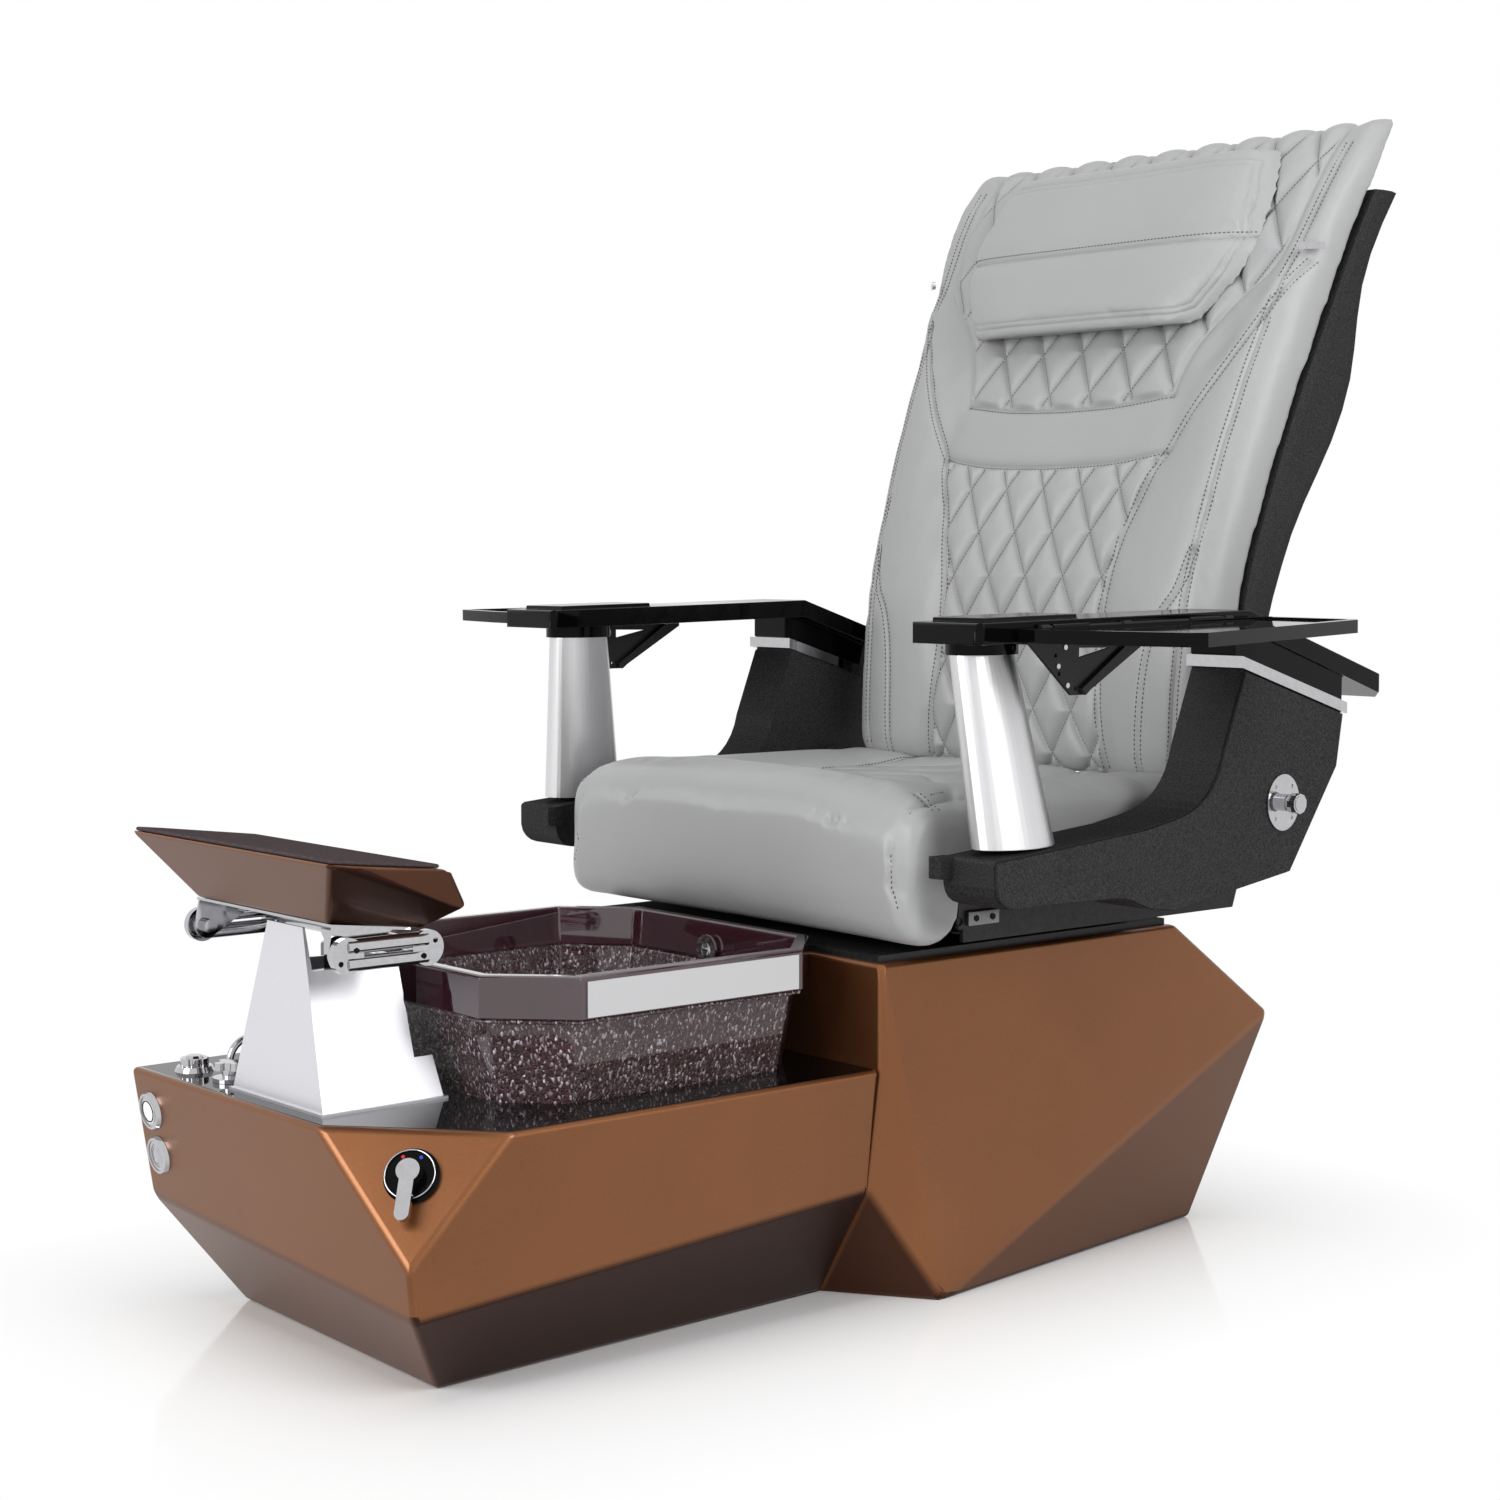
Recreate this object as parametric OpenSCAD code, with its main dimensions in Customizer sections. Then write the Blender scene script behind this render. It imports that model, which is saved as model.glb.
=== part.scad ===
// Pedicure spa chair. A faceted tub carries a foot bowl and an adjustable footrest. A pedestal
// behind the bowl carries a sliding, reclining massage seat with lift-up arms and flip-up trays.
// Frame: origin on the floor under the middle of the base, +Z up, -Y towards the footrest,
// +X to the sitter's left. All sizes are millimetres.

/* [Base] */
// Width of the base at its deck
base_w = 598; // [560:1:640]
// Height of the deck above the floor
deck_h = 290; // [270:1:310]
// Distance from the bowl's rim to the front edge of the deck
tub_front_l = 189.5; // [160:0.5:220]
// Run of the front face per unit of drop
front_rake = 0.134; // [0.08:0.002:0.2]
// Run of the side faces per unit of drop
side_rake = 0.06; // [0.02:0.005:0.1]
// Height of the ridge at the sitter's left front corner
ridge_left = 101; // [80:1:130]
// Height of the ridge at the sitter's right front corner
ridge_right = 133; // [100:1:150]
// Height of the ridge where the tub meets the pedestal
ridge_rear = 146; // [120:1:170]
// Half width of the foot at its front edge
foot_half_w = 222; // [200:1:240]
// Distance of the foot's front edge behind the deck's front edge
foot_setback = 110; // [90:1:130]
// Width of the corner facet along the front edge
facet_x = 162; // [130:1:190]
// Depth of the corner facet along the side edge
facet_y = 146; // [120:1:170]
// Drop of the corner facet's lowest point below the deck
facet_drop = 133; // [110:1:150]
// Wall of the moulded shells
shell_t = 6; // [4:0.5:8]
// Thickness of the shell's rim round the deck
rim_t = 14; // [12:1:20]
// Width of the painted border round the deck
border_w = 7; // [4:0.5:12]
// Thickness of the glossy deck panel
deck_t = 8; // [5:0.5:10]
// Thickness of the floor board
board_t = 12; // [9:1:18]

/* [Pedestal] */
// Height of the pedestal's top above the floor
pedestal_h = 418; // [400:1:440]
// Distance of the pedestal's front face ahead of the origin
pedestal_front = 19; // [10:1:30]
// Length of the pedestal's flat top
pedestal_top_l = 531; // [500:1:560]
// Length from the front face to the rear upper corners
pedestal_l = 726; // [690:1:760]
// Height of the rear upper corners
pedestal_rear_h = 280; // [250:1:310]
// Half width of the pedestal's side points on the floor
flare_half_w = 330; // [310:1:350]
// Distance of the side points behind the origin
flare_y = 57; // [30:1:90]
// Half width of the pedestal's rear points on the floor
heel_half_w = 251; // [230:1:270]
// Distance of the rear points on the floor behind the origin
heel_y = 603; // [570:1:640]
// Thickness of the black plate on the pedestal
seat_plate_t = 8; // [6:0.5:10]

/* [Bowl] */
// Width of the bowl's rim
bowl_w = 504; // [470:1:520]
// Length of the bowl's rim
bowl_l = 490; // [460:1:500]
// Gap between the rim and the pedestal
bowl_gap = 1.5; // [0.5:0.5:4]
// Size of the rim's corner cuts
bowl_cut = 81; // [60:1:100]
// Height of the bowl's top above the floor
bowl_top = 440; // [430:1:444]
// Height of the rim band
rim_h = 50; // [40:1:60]
// Step from the rim in to the textured body
body_step = 15; // [12:1:22]
// Run of the body's walls per unit of drop
bowl_taper = 0.18; // [0.1:0.01:0.25]
// Depth of the basin below its top
bowl_depth = 250; // [220:1:262]
// Wall of the basin
bowl_t = 7; // [5:0.5:9]

/* [Footrest] */
// Width of the footrest block's top
rest_w = 452; // [420:1:470]
// Width of the footrest block's underside
rest_under_w = 288; // [260:1:310]
// Length of the block's top
rest_l = 170; // [155:1:185]
// Height of the block
rest_h = 74; // [66:1:80]
// Slope of the block, front edge higher
rest_tilt = 6.7; // [0:0.1:15]
// Distance of the block's front top edge ahead of the bowl's rim
rest_ahead = 221.5; // [205:0.5:235]
// Height of the block's front top edge
rest_z = 591; // [575:1:610]
// Set-back of the underside's front edge
rest_rake = 53; // [35:1:65]
// Thickness of the soft pad
pad_t = 5; // [3:0.5:8]
// Distance between the two link axles
link_l = 102; // [90:1:110]
// Distance of the footrest's fixed axle ahead of the bowl's rim
axle_ahead = 62.5; // [52:0.5:72]
// Height of the link axles
axle_z = 477; // [473:1:478]
// Radius of the link discs
disc_r = 20; // [18:0.5:20.5]
// Half width over the bracket's ears
ear_x = 150; // [135:1:160]
// Half width of the post at its foot
post_foot_w = 100; // [90:1:110]
// Half width of the post at its top
post_top_w = 39; // [36:1:46]
// Height of the post's front plate
post_h = 493; // [480:1:496]

/* [Seat] */
// Half width of the seat cushion
seat_half_w = 354; // [340:1:358]
// Height of the seat in the middle
seat_h = 608; // [600:1:618]
// Height of the raised front roll
roll_h = 643; // [630:1:655]
// Distance of the front roll ahead of the origin
seat_front = 21; // [15:1:26]
// Distance of the seat's rear edge behind the origin
seat_rear = 524; // [500:1:540]
// Height of the seat pan's upper face
pan_z = 500; // [494:1:506]
// Forward and back travel of the seat
seat_travel = 100; // [80:1:110]

/* [Backrest] */
// Height of the recline axle
recline_z = 506; // [496:1:516]
// Distance of the recline axle behind the origin
recline_y = 590; // [580:1:600]
// Length added to the backrest above the shoulders
back_rise = 0; // [-20:1:20]
// Half width added to the whole backrest
back_widen = 0; // [-12:1:4]
// Depth of the backrest cushion at its side faces
back_side_t = 42; // [34:1:50]
// Width over the massage rollers
roller_span = 190; // [150:1:220]

/* [Pillow] */
// Half width of the head pillow at its widest
pillow_half_w = 286; // [260:1:300]
// Thickness of the head pillow
pillow_t = 56; // [40:1:66]

/* [Arms] */
// Inner side of the arm housings
arm_in = 388; // [384:1:394]
// Outer side of the arm housings
arm_out = 476; // [470:1:484]
// Height of the armrest's front top edge
armrest_z = 830; // [815:1:845]
// Thickness of the armrest
armrest_t = 25; // [20:1:30]
// Distance of the armrest's front end ahead of the origin
armrest_front = 30; // [15:1:45]
// Inner side of the armrest at the front
armrest_in = 356; // [352:1:364]
// Outer side of the armrest
armrest_out = 472; // [464:1:476]
// Upward pitch of the armrest towards the rear
arm_pitch = 1; // [0:0.1:2]
// Distance of the arm's pivot behind the origin
arm_pivot_y = 508; // [500:1:516]
// Height of the arm's pivot
arm_pivot_z = 594; // [586:1:602]
// Outer side of the tray at the front
tray_out = 722; // [700:1:740]
// Thickness of the tray
tray_t = 16; // [12:1:20]

/* [Controls] */
// Diameter of the push buttons' bezels
bezel_d = 48; // [40:1:52]
// Radius of the mixer valve's plate
valve_r = 31; // [27:1:34]
// Length of the mixer valve's lever from its axle
lever_l = 56; // [45:1:62]

/* [Fits] */
// Clearance between pieces that lie side by side
fit = 0.3; // [0.2:0.05:0.5]
// Radial clearance of a turning or sliding shaft
run = 0.05; // [0.03:0.01:0.1]

/* [Hidden] */
fine = 64;
medium = 40;
hull_fn = 32;
over = 1;            // cutters reach this far past a face
copper = "#a8693f";
gloss_black = "#141416";
soft_grey = "#a3a4a6";

// ---------------------------------------------------------------- shared geometry

function unit(v) = v / norm(v);
function flip(p) = [-p.x, p.y, p.z];
function both(points) = concat(points, [for (p = points) flip(p)]);

// A convex outline or one with open corners, moved inwards by d. Points run anticlockwise.
function inset(p, d) = [
    for (i = [0 : len(p) - 1])
        let (
            a = p[(i + len(p) - 1) % len(p)],
            b = p[i],
            c = p[(i + 1) % len(p)],
            u = unit(b - a),
            v = unit(c - b),
            n = [-u.y, u.x],
            m = [-v.y, v.x]
        )
        b + (n + m) * d / (1 + n * m)
];

function ellipse(a, b, n = 48) = [for (i = [0 : n - 1]) [a * cos(360 * i / n), b * sin(360 * i / n)]];

function bezier(a, b, c, d, n = 8) = [
    for (i = [0 : n]) let (t = i / n, s = 1 - t)
        a * s * s * s + b * 3 * s * s * t + c * 3 * s * t * t + d * t * t * t
];

// The value at x of a smooth curve through the rows [x, value], which stand in rising order.
function smooth(rows, x) =
    let (
        last = len(rows) - 1,
        k = max([for (i = [0 : last - 1]) rows[i][0] <= x ? i : 0]),
        a = rows[max(k - 1, 0)],
        b = rows[k],
        c = rows[k + 1],
        d = rows[min(k + 2, last)],
        h = c[0] - b[0],
        t = (x - b[0]) / h,
        m0 = (c[1] - a[1]) / (c[0] - a[0]),
        m1 = (d[1] - b[1]) / (d[0] - b[0])
    )
    b[1] * (2 * t * t * t - 3 * t * t + 1) + m0 * h * (t * t * t - 2 * t * t + t)
        + c[1] * (3 * t * t - 2 * t * t * t) + m1 * h * (t * t * t - t * t);

// Coordinates on the plane through a, b and c.
function plane_y(a, b, c, x, z) = let (n = cross(b - a, c - a)) a.y - (n.x * (x - a.x) + n.z * (z - a.z)) / n.y;
function plane_x(a, b, c, y, z) = let (n = cross(b - a, c - a)) a.x - (n.y * (y - a.y) + n.z * (z - a.z)) / n.x;

module convex(points) {
    hull() polyhedron(points = points, faces = [for (i = [0 : len(points) - 3]) [i, i + 1, i + 2]]);
}

// A closed skin over rings of equally many points; each ring runs clockwise seen from the last one.
module loft(rings) {
    n = len(rings[0]);
    m = len(rings);
    polyhedron(
        points = [for (ring = rings) each ring],
        faces = concat(
            [[for (j = [0 : n - 1]) j]],
            [for (i = [0 : m - 2], j = [0 : n - 1]) [i * n + j, (i + 1) * n + (j + 1) % n, i * n + (j + 1) % n]],
            [for (i = [0 : m - 2], j = [0 : n - 1]) [i * n + j, (i + 1) * n + j, (i + 1) * n + (j + 1) % n]],
            [[for (j = [n - 1 : -1 : 0]) (m - 1) * n + j]]
        )
    );
}

// An outline of [y, z] points drawn out along X from x0 to x1.
module along_x(x0, x1) {
    translate([x0, 0, 0]) rotate([90, 0, 90]) linear_extrude(x1 - x0) children();
}

module rod_x(x0, x1, r, y = 0, z = 0) {
    translate([x0, y, z]) rotate([0, 90, 0]) cylinder(h = x1 - x0, r = r, $fn = medium);
}

module rod_y(y0, y1, r, x = 0, z = 0) {
    translate([x, y0, z]) rotate([-90, 0, 0]) cylinder(h = y1 - y0, r = r, $fn = medium);
}

module box(x0, x1, y0, y1, z0, z1) {
    translate([x0, y0, z0]) cube([x1 - x0, y1 - y0, z1 - z0]);
}

// Draws its children on the sitter's left, and with -1 on the right.
module on_side(side) {
    mirror([side < 0 ? 1 : 0, 0, 0]) children();
}

// ---------------------------------------------------------------- base

bowl_ahead = pedestal_front + bowl_gap + bowl_l;     // front of the bowl's rim, ahead of the origin
base_front = bowl_ahead + tub_front_l;
function front_y(z) = -base_front + front_rake * (deck_h - z);
function side_x(z) = base_w / 2 - side_rake * (deck_h - z);

tub_ridge_l = [side_x(ridge_left), front_y(ridge_left), ridge_left];
tub_ridge_r = [-side_x(ridge_right), front_y(ridge_right), ridge_right];
seam_y = -33;        // the tub's sides end here, against the pedestal
tub_end_l = [side_x(ridge_rear), seam_y, ridge_rear];
foot_r = [-foot_half_w, -base_front + foot_setback, 0];
foot_l = [foot_half_w, plane_y(tub_ridge_l, tub_ridge_r, foot_r, foot_half_w, 0), 0];
foot_end_y = -30;
foot_end_l = [plane_x(tub_ridge_l, tub_end_l, foot_l, foot_end_y, 0), foot_end_y, 0];
foot_end_r = [plane_x(tub_ridge_r, flip(tub_end_l), foot_r, foot_end_y, 0), foot_end_y, 0];
facet_a = [base_w / 2 - facet_x, -base_front, deck_h];
facet_b = [base_w / 2, -base_front + facet_y, deck_h];
facet_c = [side_x(deck_h - facet_drop), front_y(deck_h - facet_drop), deck_h - facet_drop];
tub_rear = 30;       // the tub's hull runs this far into the pedestal before it is cut

tub_points = [
    [-base_w / 2, -base_front, deck_h], facet_a, facet_b, facet_c, tub_ridge_l, tub_ridge_r, foot_r, foot_l,
    [base_w / 2, tub_rear, deck_h], [-base_w / 2, tub_rear, deck_h],
    [tub_end_l.x, tub_rear, ridge_rear], [-tub_end_l.x, tub_rear, ridge_rear],
    [foot_end_l.x, tub_rear, 0], [foot_end_r.x, tub_rear, 0]
];

face_y = -pedestal_front;
pedestal_points = concat(
    both([
        [base_w / 2, face_y, deck_h], [base_w / 2, face_y, pedestal_h],
        [base_w / 2, face_y + pedestal_top_l, pedestal_h], [base_w / 2, face_y + pedestal_l, pedestal_rear_h],
        [flare_half_w, flare_y, 0], [heel_half_w, heel_y, 0], tub_end_l
    ]),
    [foot_end_l, foot_end_r]
);

// The pedestal's front face stands upright above the deck and leans forward below it; t sets it back.
module ahead_of_face(t = 0) {
    reach = 90;
    along_x(-base_w, base_w) polygon([
        [face_y - reach, tub_end_l.z], [tub_end_l.y + t, tub_end_l.z], [face_y + t, deck_h],
        [face_y + t, pedestal_h + over], [face_y - reach, pedestal_h + over]
    ]);
}

module pedestal_block() {
    difference() {
        convex(pedestal_points);
        ahead_of_face();
    }
}

// Points of a shell's inside: drawn in from the walls, down from the top and out through the floor.
function inside(points, top, mid_y) = [
    for (p = points)
        [p.x - sign(p.x) * shell_t, p.y - sign(p.y - mid_y) * shell_t, p.z == 0 ? -over : min(p.z, top)]
];

// The deck's outline: the border lies between it and the tub's edge.
function deck_outline(d) = inset([
    [-base_w / 2, -base_front], [facet_a.x, facet_a.y], [facet_b.x, facet_b.y],
    [base_w / 2, face_y + border_w - deck_setback], [-base_w / 2, face_y + border_w - deck_setback]
], d);

deck_setback = 1;    // the deck's rear edge stops this far ahead of the pedestal's face
deck_lip = 14;       // the shell's rim carries the deck panel on a lip this wide
bezel_r = bezel_d / 2;
jet_button = [-base_w / 2 + 41, 242];
drain_button = [-base_w / 2 + 46, 188];
button_bore = 17.5;
valve_at = (facet_a + facet_b + facet_c) / 3;
facet_n = unit(cross(facet_b - facet_a, facet_c - facet_a) * (facet_c.z < deck_h ? -1 : 1));
valve_bore = 16;
valve_tail = 60;

// Places its children on the corner facet: their +Z points out of it and their +X downhill.
module on_facet() {
    translate(valve_at) rotate([0, acos(facet_n.z), atan2(facet_n.y, facet_n.x)]) children();
}

// Places its children on the front face at [x, z]: their +Z points out of it.
module on_front(at) {
    translate([at.x, front_y(at.y), at.y]) rotate([90 + atan(front_rake), 0, 0]) children();
}

module base_shell() {
    color(copper) difference() {
        convex(tub_points);
        convex(inside(tub_points, deck_h - rim_t, -base_front / 2));
        pedestal_block();
        translate([0, 0, deck_h - deck_t]) linear_extrude(rim_t) polygon(deck_outline(border_w));
        translate([0, 0, deck_h - 2 * rim_t]) linear_extrude(3 * rim_t) polygon(deck_outline(border_w + deck_lip));
        on_facet() translate([0, 0, -valve_tail - over])
            cylinder(h = valve_tail + 2 * shell_t, r = valve_bore, $fn = fine);
        for (at = [jet_button, drain_button])
            on_front(at) translate([0, 0, -2 * shell_t]) cylinder(h = 4 * shell_t, r = button_bore, $fn = fine);
    }
}

jet_z = 404;
jet_r = 19;
jet_cup_r = 12.5;
jet_tube_r = 7.5;

module pedestal_shell() {
    color(copper) difference() {
        pedestal_block();
        difference() {
            convex(inside(pedestal_points, pedestal_h - shell_t, heel_y / 2));
            ahead_of_face(shell_t);
        }
        rod_y(face_y - over, face_y + 2 * shell_t, jet_tube_r + fit, 0, jet_z);
        translate([0, 0, -over]) linear_extrude(board_t + over + fit) polygon(board_outline(0));
    }
}

// The floor board's outline inside the shells' walls, drawn in by d.
function board_outline(d) = [
    for (p = [foot_r, foot_l, foot_end_l, [flare_half_w, flare_y], [heel_half_w, heel_y], [-heel_half_w, heel_y],
        [-flare_half_w, flare_y], foot_end_r])
        [p.x - sign(p.x) * (shell_t + d), p.y + (p.y > 0.9 * heel_y ? -1 : p.y < foot_end_y - 1 ? 1 : 0) * (shell_t + d)]
];

module base_board() {
    color("#3a3430") linear_extrude(board_t) polygon(board_outline(fit));
}

module deck_plate() {
    spray_bore = 17;
    color(gloss_black) difference() {
        translate([0, 0, deck_h - deck_t + fit]) linear_extrude(deck_t) polygon(deck_outline(border_w + fit));
        translate([0, 0, deck_h - 2 * deck_t]) linear_extrude(4 * deck_t) polygon(bowl_outline(bowl_inset(deck_h) - fit));
        translate([spray_at.x, spray_at.y, deck_h - 2 * deck_t]) cylinder(h = 4 * deck_t, r = spray_bore, $fn = fine);
        translate([diverter_at.x, diverter_at.y, deck_h - 2 * deck_t])
            cylinder(h = 4 * deck_t, r = diverter_r + run, $fn = medium);
    }
}

deck_top = deck_h + fit;

// ---------------------------------------------------------------- bowl

bowl_rear = face_y - bowl_gap;

function bowl_outline(d) = inset([
    [-bowl_w / 2 + bowl_cut, bowl_rear - bowl_l], [bowl_w / 2 - bowl_cut, bowl_rear - bowl_l],
    [bowl_w / 2, bowl_rear - bowl_l + bowl_cut], [bowl_w / 2, bowl_rear - bowl_cut],
    [bowl_w / 2 - bowl_cut, bowl_rear], [-bowl_w / 2 + bowl_cut, bowl_rear],
    [-bowl_w / 2, bowl_rear - bowl_cut], [-bowl_w / 2, bowl_rear - bowl_l + bowl_cut]
], d);

rim_z = bowl_top - rim_h;
bowl_floor_z = bowl_top - bowl_depth;
function bowl_inset(z) = body_step + bowl_taper * (rim_z - z);
function bowl_ring(d, z) = [for (p = bowl_outline(d)) [p.x, p.y, z]];
bowl_mid_y = bowl_rear - bowl_l / 2;
drain_y = bowl_rear - 110;
drain_bore = 22;
flange_t = 5;

module bowl() {
    foot_z = bowl_floor_z - bowl_t;
    color("#4a2f38") difference() {
        union() {
            convex(concat(bowl_ring(bowl_inset(foot_z), foot_z), bowl_ring(body_step, rim_z)));
            translate([0, 0, rim_z - flange_t]) linear_extrude(flange_t) polygon(bowl_outline(3));
        }
        convex(concat(
            bowl_ring(bowl_inset(bowl_floor_z) + bowl_t, bowl_floor_z),
            bowl_ring(body_step + bowl_t, rim_z),
            bowl_ring(body_step + bowl_t, rim_z + over)
        ));
        translate([0, drain_y, foot_z - over]) cylinder(h = 3 * bowl_t, r = drain_bore, $fn = fine);
    }
}

module bowl_rim() {
    edge = 3;
    rim_w = body_step + bowl_t;
    color("#351a26") difference() {
        convex(concat(bowl_ring(0, rim_z + fit), bowl_ring(0, bowl_top - edge), bowl_ring(edge, bowl_top)));
        convex(concat(bowl_ring(rim_w, rim_z - over), bowl_ring(rim_w - 2 * edge, bowl_top + over)));
        rod_y(bowl_rear - 2 * rim_w, bowl_rear + over, jet_cup_r + fit, 0, jet_z);
    }
}

module rim_plates() {
    plate_t = 2.5;
    plate_l = 311;
    margin = 3;
    color("silver") for (side = [-1, 1]) on_side(side)
        box(bowl_w / 2, bowl_w / 2 + plate_t, bowl_mid_y - plate_l / 2, bowl_mid_y + plate_l / 2,
            rim_z + margin, bowl_top - 2 * margin);
}

jet_face_y = bowl_rear - body_step - bowl_t - bowl_taper * (rim_z + jet_r - jet_z) - fit;
jet_motor_r = 26;
jet_motor_l = 70;
jet_bore = 9.5;

module jet_housing() {
    flange = 3.5;
    sag = jet_motor_r + 1 - (pedestal_h - shell_t - jet_z);
    color("silver") difference() {
        union() {
            rod_y(jet_face_y - flange, jet_face_y, jet_r, 0, jet_z);
            rod_y(jet_face_y - over, bowl_rear, jet_cup_r, 0, jet_z);
            rod_y(bowl_rear - over, face_y + shell_t + 2, jet_tube_r, 0, jet_z);
            rod_y(face_y + shell_t + fit, face_y + jet_motor_l, jet_motor_r, 0, jet_z - sag);
        }
        rod_y(jet_face_y - flange - over, bowl_rear - 5, jet_bore, 0, jet_z);
        rod_y(bowl_rear - 5 - over, face_y + shell_t, impeller_shaft_r + run, 0, jet_z);
    }
}

impeller_shaft_r = 3;

module jet_impeller() {
    blade_r = 8.5;
    blade_t = 1.5;
    blade_l = 8;
    spin_y = jet_face_y + 2;
    color("black") {
        rod_y(spin_y, face_y + shell_t - fit, impeller_shaft_r, 0, jet_z);
        for (a = [0 : 60 : 179]) translate([0, spin_y, jet_z]) rotate([0, a, 0])
            box(-blade_r, blade_r, 0, blade_l, -blade_t / 2, blade_t / 2);
    }
}

module drain_fitting() {
    flange_r = 30;
    tail = 34;
    color("silver") translate([0, drain_y, bowl_floor_z]) difference() {
        union() {
            translate([0, 0, fit]) cylinder(h = 3, r = flange_r, $fn = fine);
            translate([0, 0, -tail]) cylinder(h = tail + over, r = drain_bore - fit, $fn = fine);
        }
        for (a = [0 : 60 : 359]) rotate(a) translate([flange_r / 2, 0, -tail - over])
            cylinder(h = 2 * tail, r = 3, $fn = 24);
    }
}

module drain_pump() {
    pump_r = 42;
    pump_l = 96;
    outlet_r = 14;
    tail_z = bowl_floor_z - 34;
    axis_z = board_t + pump_r;
    color("dimgray") {
        rod_y(drain_y - pump_l / 2, drain_y + pump_l / 2, pump_r, 0, axis_z);
        box(-pump_r, pump_r, drain_y - pump_l / 3, drain_y + pump_l / 3, board_t, axis_z);
        translate([0, drain_y, axis_z]) cylinder(h = tail_z - axis_z, r = outlet_r, $fn = medium);
    }
}

module control_box() {
    color("dimgray") difference() {
        box(-110, 110, 250, 400, board_t, board_t + 70);
        for (x = [-80 : 20 : 80]) box(x - 4, x + 4, 249, 252, board_t + 20, board_t + 50);
    }
}

// ---------------------------------------------------------------- controls

module valve_body() {
    plate_t = 4;
    hub_r = 15;
    hub_h = 14;
    color("silver") on_facet() difference() {
        union() {
            translate([0, 0, fit]) cylinder(h = plate_t, r = valve_r, $fn = fine);
            translate([0, 0, fit]) cylinder(h = hub_h, r = hub_r, $fn = fine);
            translate([0, 0, -valve_tail]) cylinder(h = valve_tail + over, r = valve_bore - fit, $fn = fine);
        }
        translate([0, 0, hub_h / 2]) cylinder(h = hub_h, r = lever_pin_r + run, $fn = medium);
        translate([0, 0, plate_t]) rotate_extrude($fn = fine) translate([valve_r - 3, 0]) circle(r = 1, $fn = 16);
    }
}

lever_pin_r = 6;
lever_z = 14 + 2 * fit;

module valve_lever() {
    lever_w = 16;
    lever_t = 8;
    cap_r = 13;
    color("silver") on_facet() {
        translate([0, 0, lever_z - 6]) cylinder(h = lever_t, r = lever_pin_r, $fn = medium);
        translate([0, 0, lever_z]) difference() {
            union() {
                cylinder(h = lever_t, r = cap_r, $fn = fine);
                translate([0, -lever_w / 2, 0]) cube([lever_l - lever_w / 2, lever_w, lever_t]);
                translate([lever_l - lever_w / 2, 0, 0]) cylinder(h = lever_t, r = lever_w / 2, $fn = fine);
            }
            translate([lever_l / 3, 0, lever_t + lever_w])
                rotate([0, 90, 0]) cylinder(h = lever_l, r = lever_w, $fn = fine);
        }
    }
}

bezel_h = 5;
button_travel = 3;

module button_bezels() {
    tail_l = 21;
    color("silver") for (at = [jet_button, drain_button]) on_front(at) difference() {
        union() {
            translate([0, 0, fit]) cylinder(h = bezel_h, r1 = bezel_r, r2 = bezel_r - 2, $fn = fine);
            translate([0, 0, -tail_l]) cylinder(h = tail_l + over, r = button_bore - fit, $fn = fine);
        }
        translate([0, 0, -button_travel - over]) cylinder(h = tail_l, r = button_r + run, $fn = fine);
        translate([0, 0, bezel_h - 1]) cylinder(h = tail_l, r = bezel_r - 5, $fn = fine);
    }
}

button_r = 14.5;

module button_jet() {
    color("white") on_front(jet_button) cylinder(h = bezel_h, r = button_r, $fn = fine);
}

module button_drain() {
    color("silver") on_front(drain_button) {
        cylinder(h = bezel_h - 2, r = button_r, $fn = fine);
        intersection() {
            translate([0, 0, -18]) sphere(r = 24, $fn = fine);
            translate([0, 0, bezel_h - 3]) cylinder(h = 10, r = button_r, $fn = fine);
        }
    }
}

fitting_setback = 49;        // from the deck's front edge
spray_at = [-base_w / 2 + 70, -base_front + fitting_setback];
diverter_at = [-base_w / 2 + 156, -base_front + fitting_setback];
diverter_r = 7;

module spray_dock() {
    collar_r = 24;
    collar_h = 6;
    tail_l = 50;
    color("silver") translate([spray_at.x, spray_at.y, deck_top]) difference() {
        union() {
            cylinder(h = collar_h, r1 = collar_r, r2 = collar_r - 3, $fn = fine);
            translate([0, 0, -tail_l]) cylinder(h = tail_l + over, r = 16, $fn = fine);
        }
        translate([0, 0, -tail_l - over]) cylinder(h = 2 * tail_l, r = spray_r + run, $fn = fine);
    }
}

spray_r = 11;

module hand_spray() {
    handle_l = 110;
    head_r = 17;
    color("silver") translate([spray_at.x, spray_at.y, deck_top + 6 + fit]) {
        translate([0, 0, -handle_l]) cylinder(h = handle_l + over, r = spray_r, $fn = fine);
        difference() {
            cylinder(h = 9, r = head_r, $fn = fine);
            for (a = [0 : 45 : 359]) rotate(a) translate([head_r + 1, 0, -over]) cylinder(h = 12, r = 3, $fn = 24);
        }
        translate([0, 0, 9]) cylinder(h = 3, r1 = head_r - 5, r2 = head_r - 8, $fn = fine);
    }
}

module diverter_knob() {
    lobe_r = 6;
    reach = 13;
    color("silver") translate([diverter_at.x, diverter_at.y, deck_top + fit]) {
        translate([0, 0, -20]) cylinder(h = 21, r = diverter_r, $fn = medium);
        cylinder(h = 5, r = 20, $fn = fine);
        cylinder(h = 16, r = 9, $fn = fine);
        translate([0, 0, 14]) {
            cylinder(h = 9, r = 11, $fn = fine);
            for (a = [0 : 90 : 359]) rotate(a) translate([reach, 0, 0]) cylinder(h = 9, r = lobe_r, $fn = medium);
        }
    }
}

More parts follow.
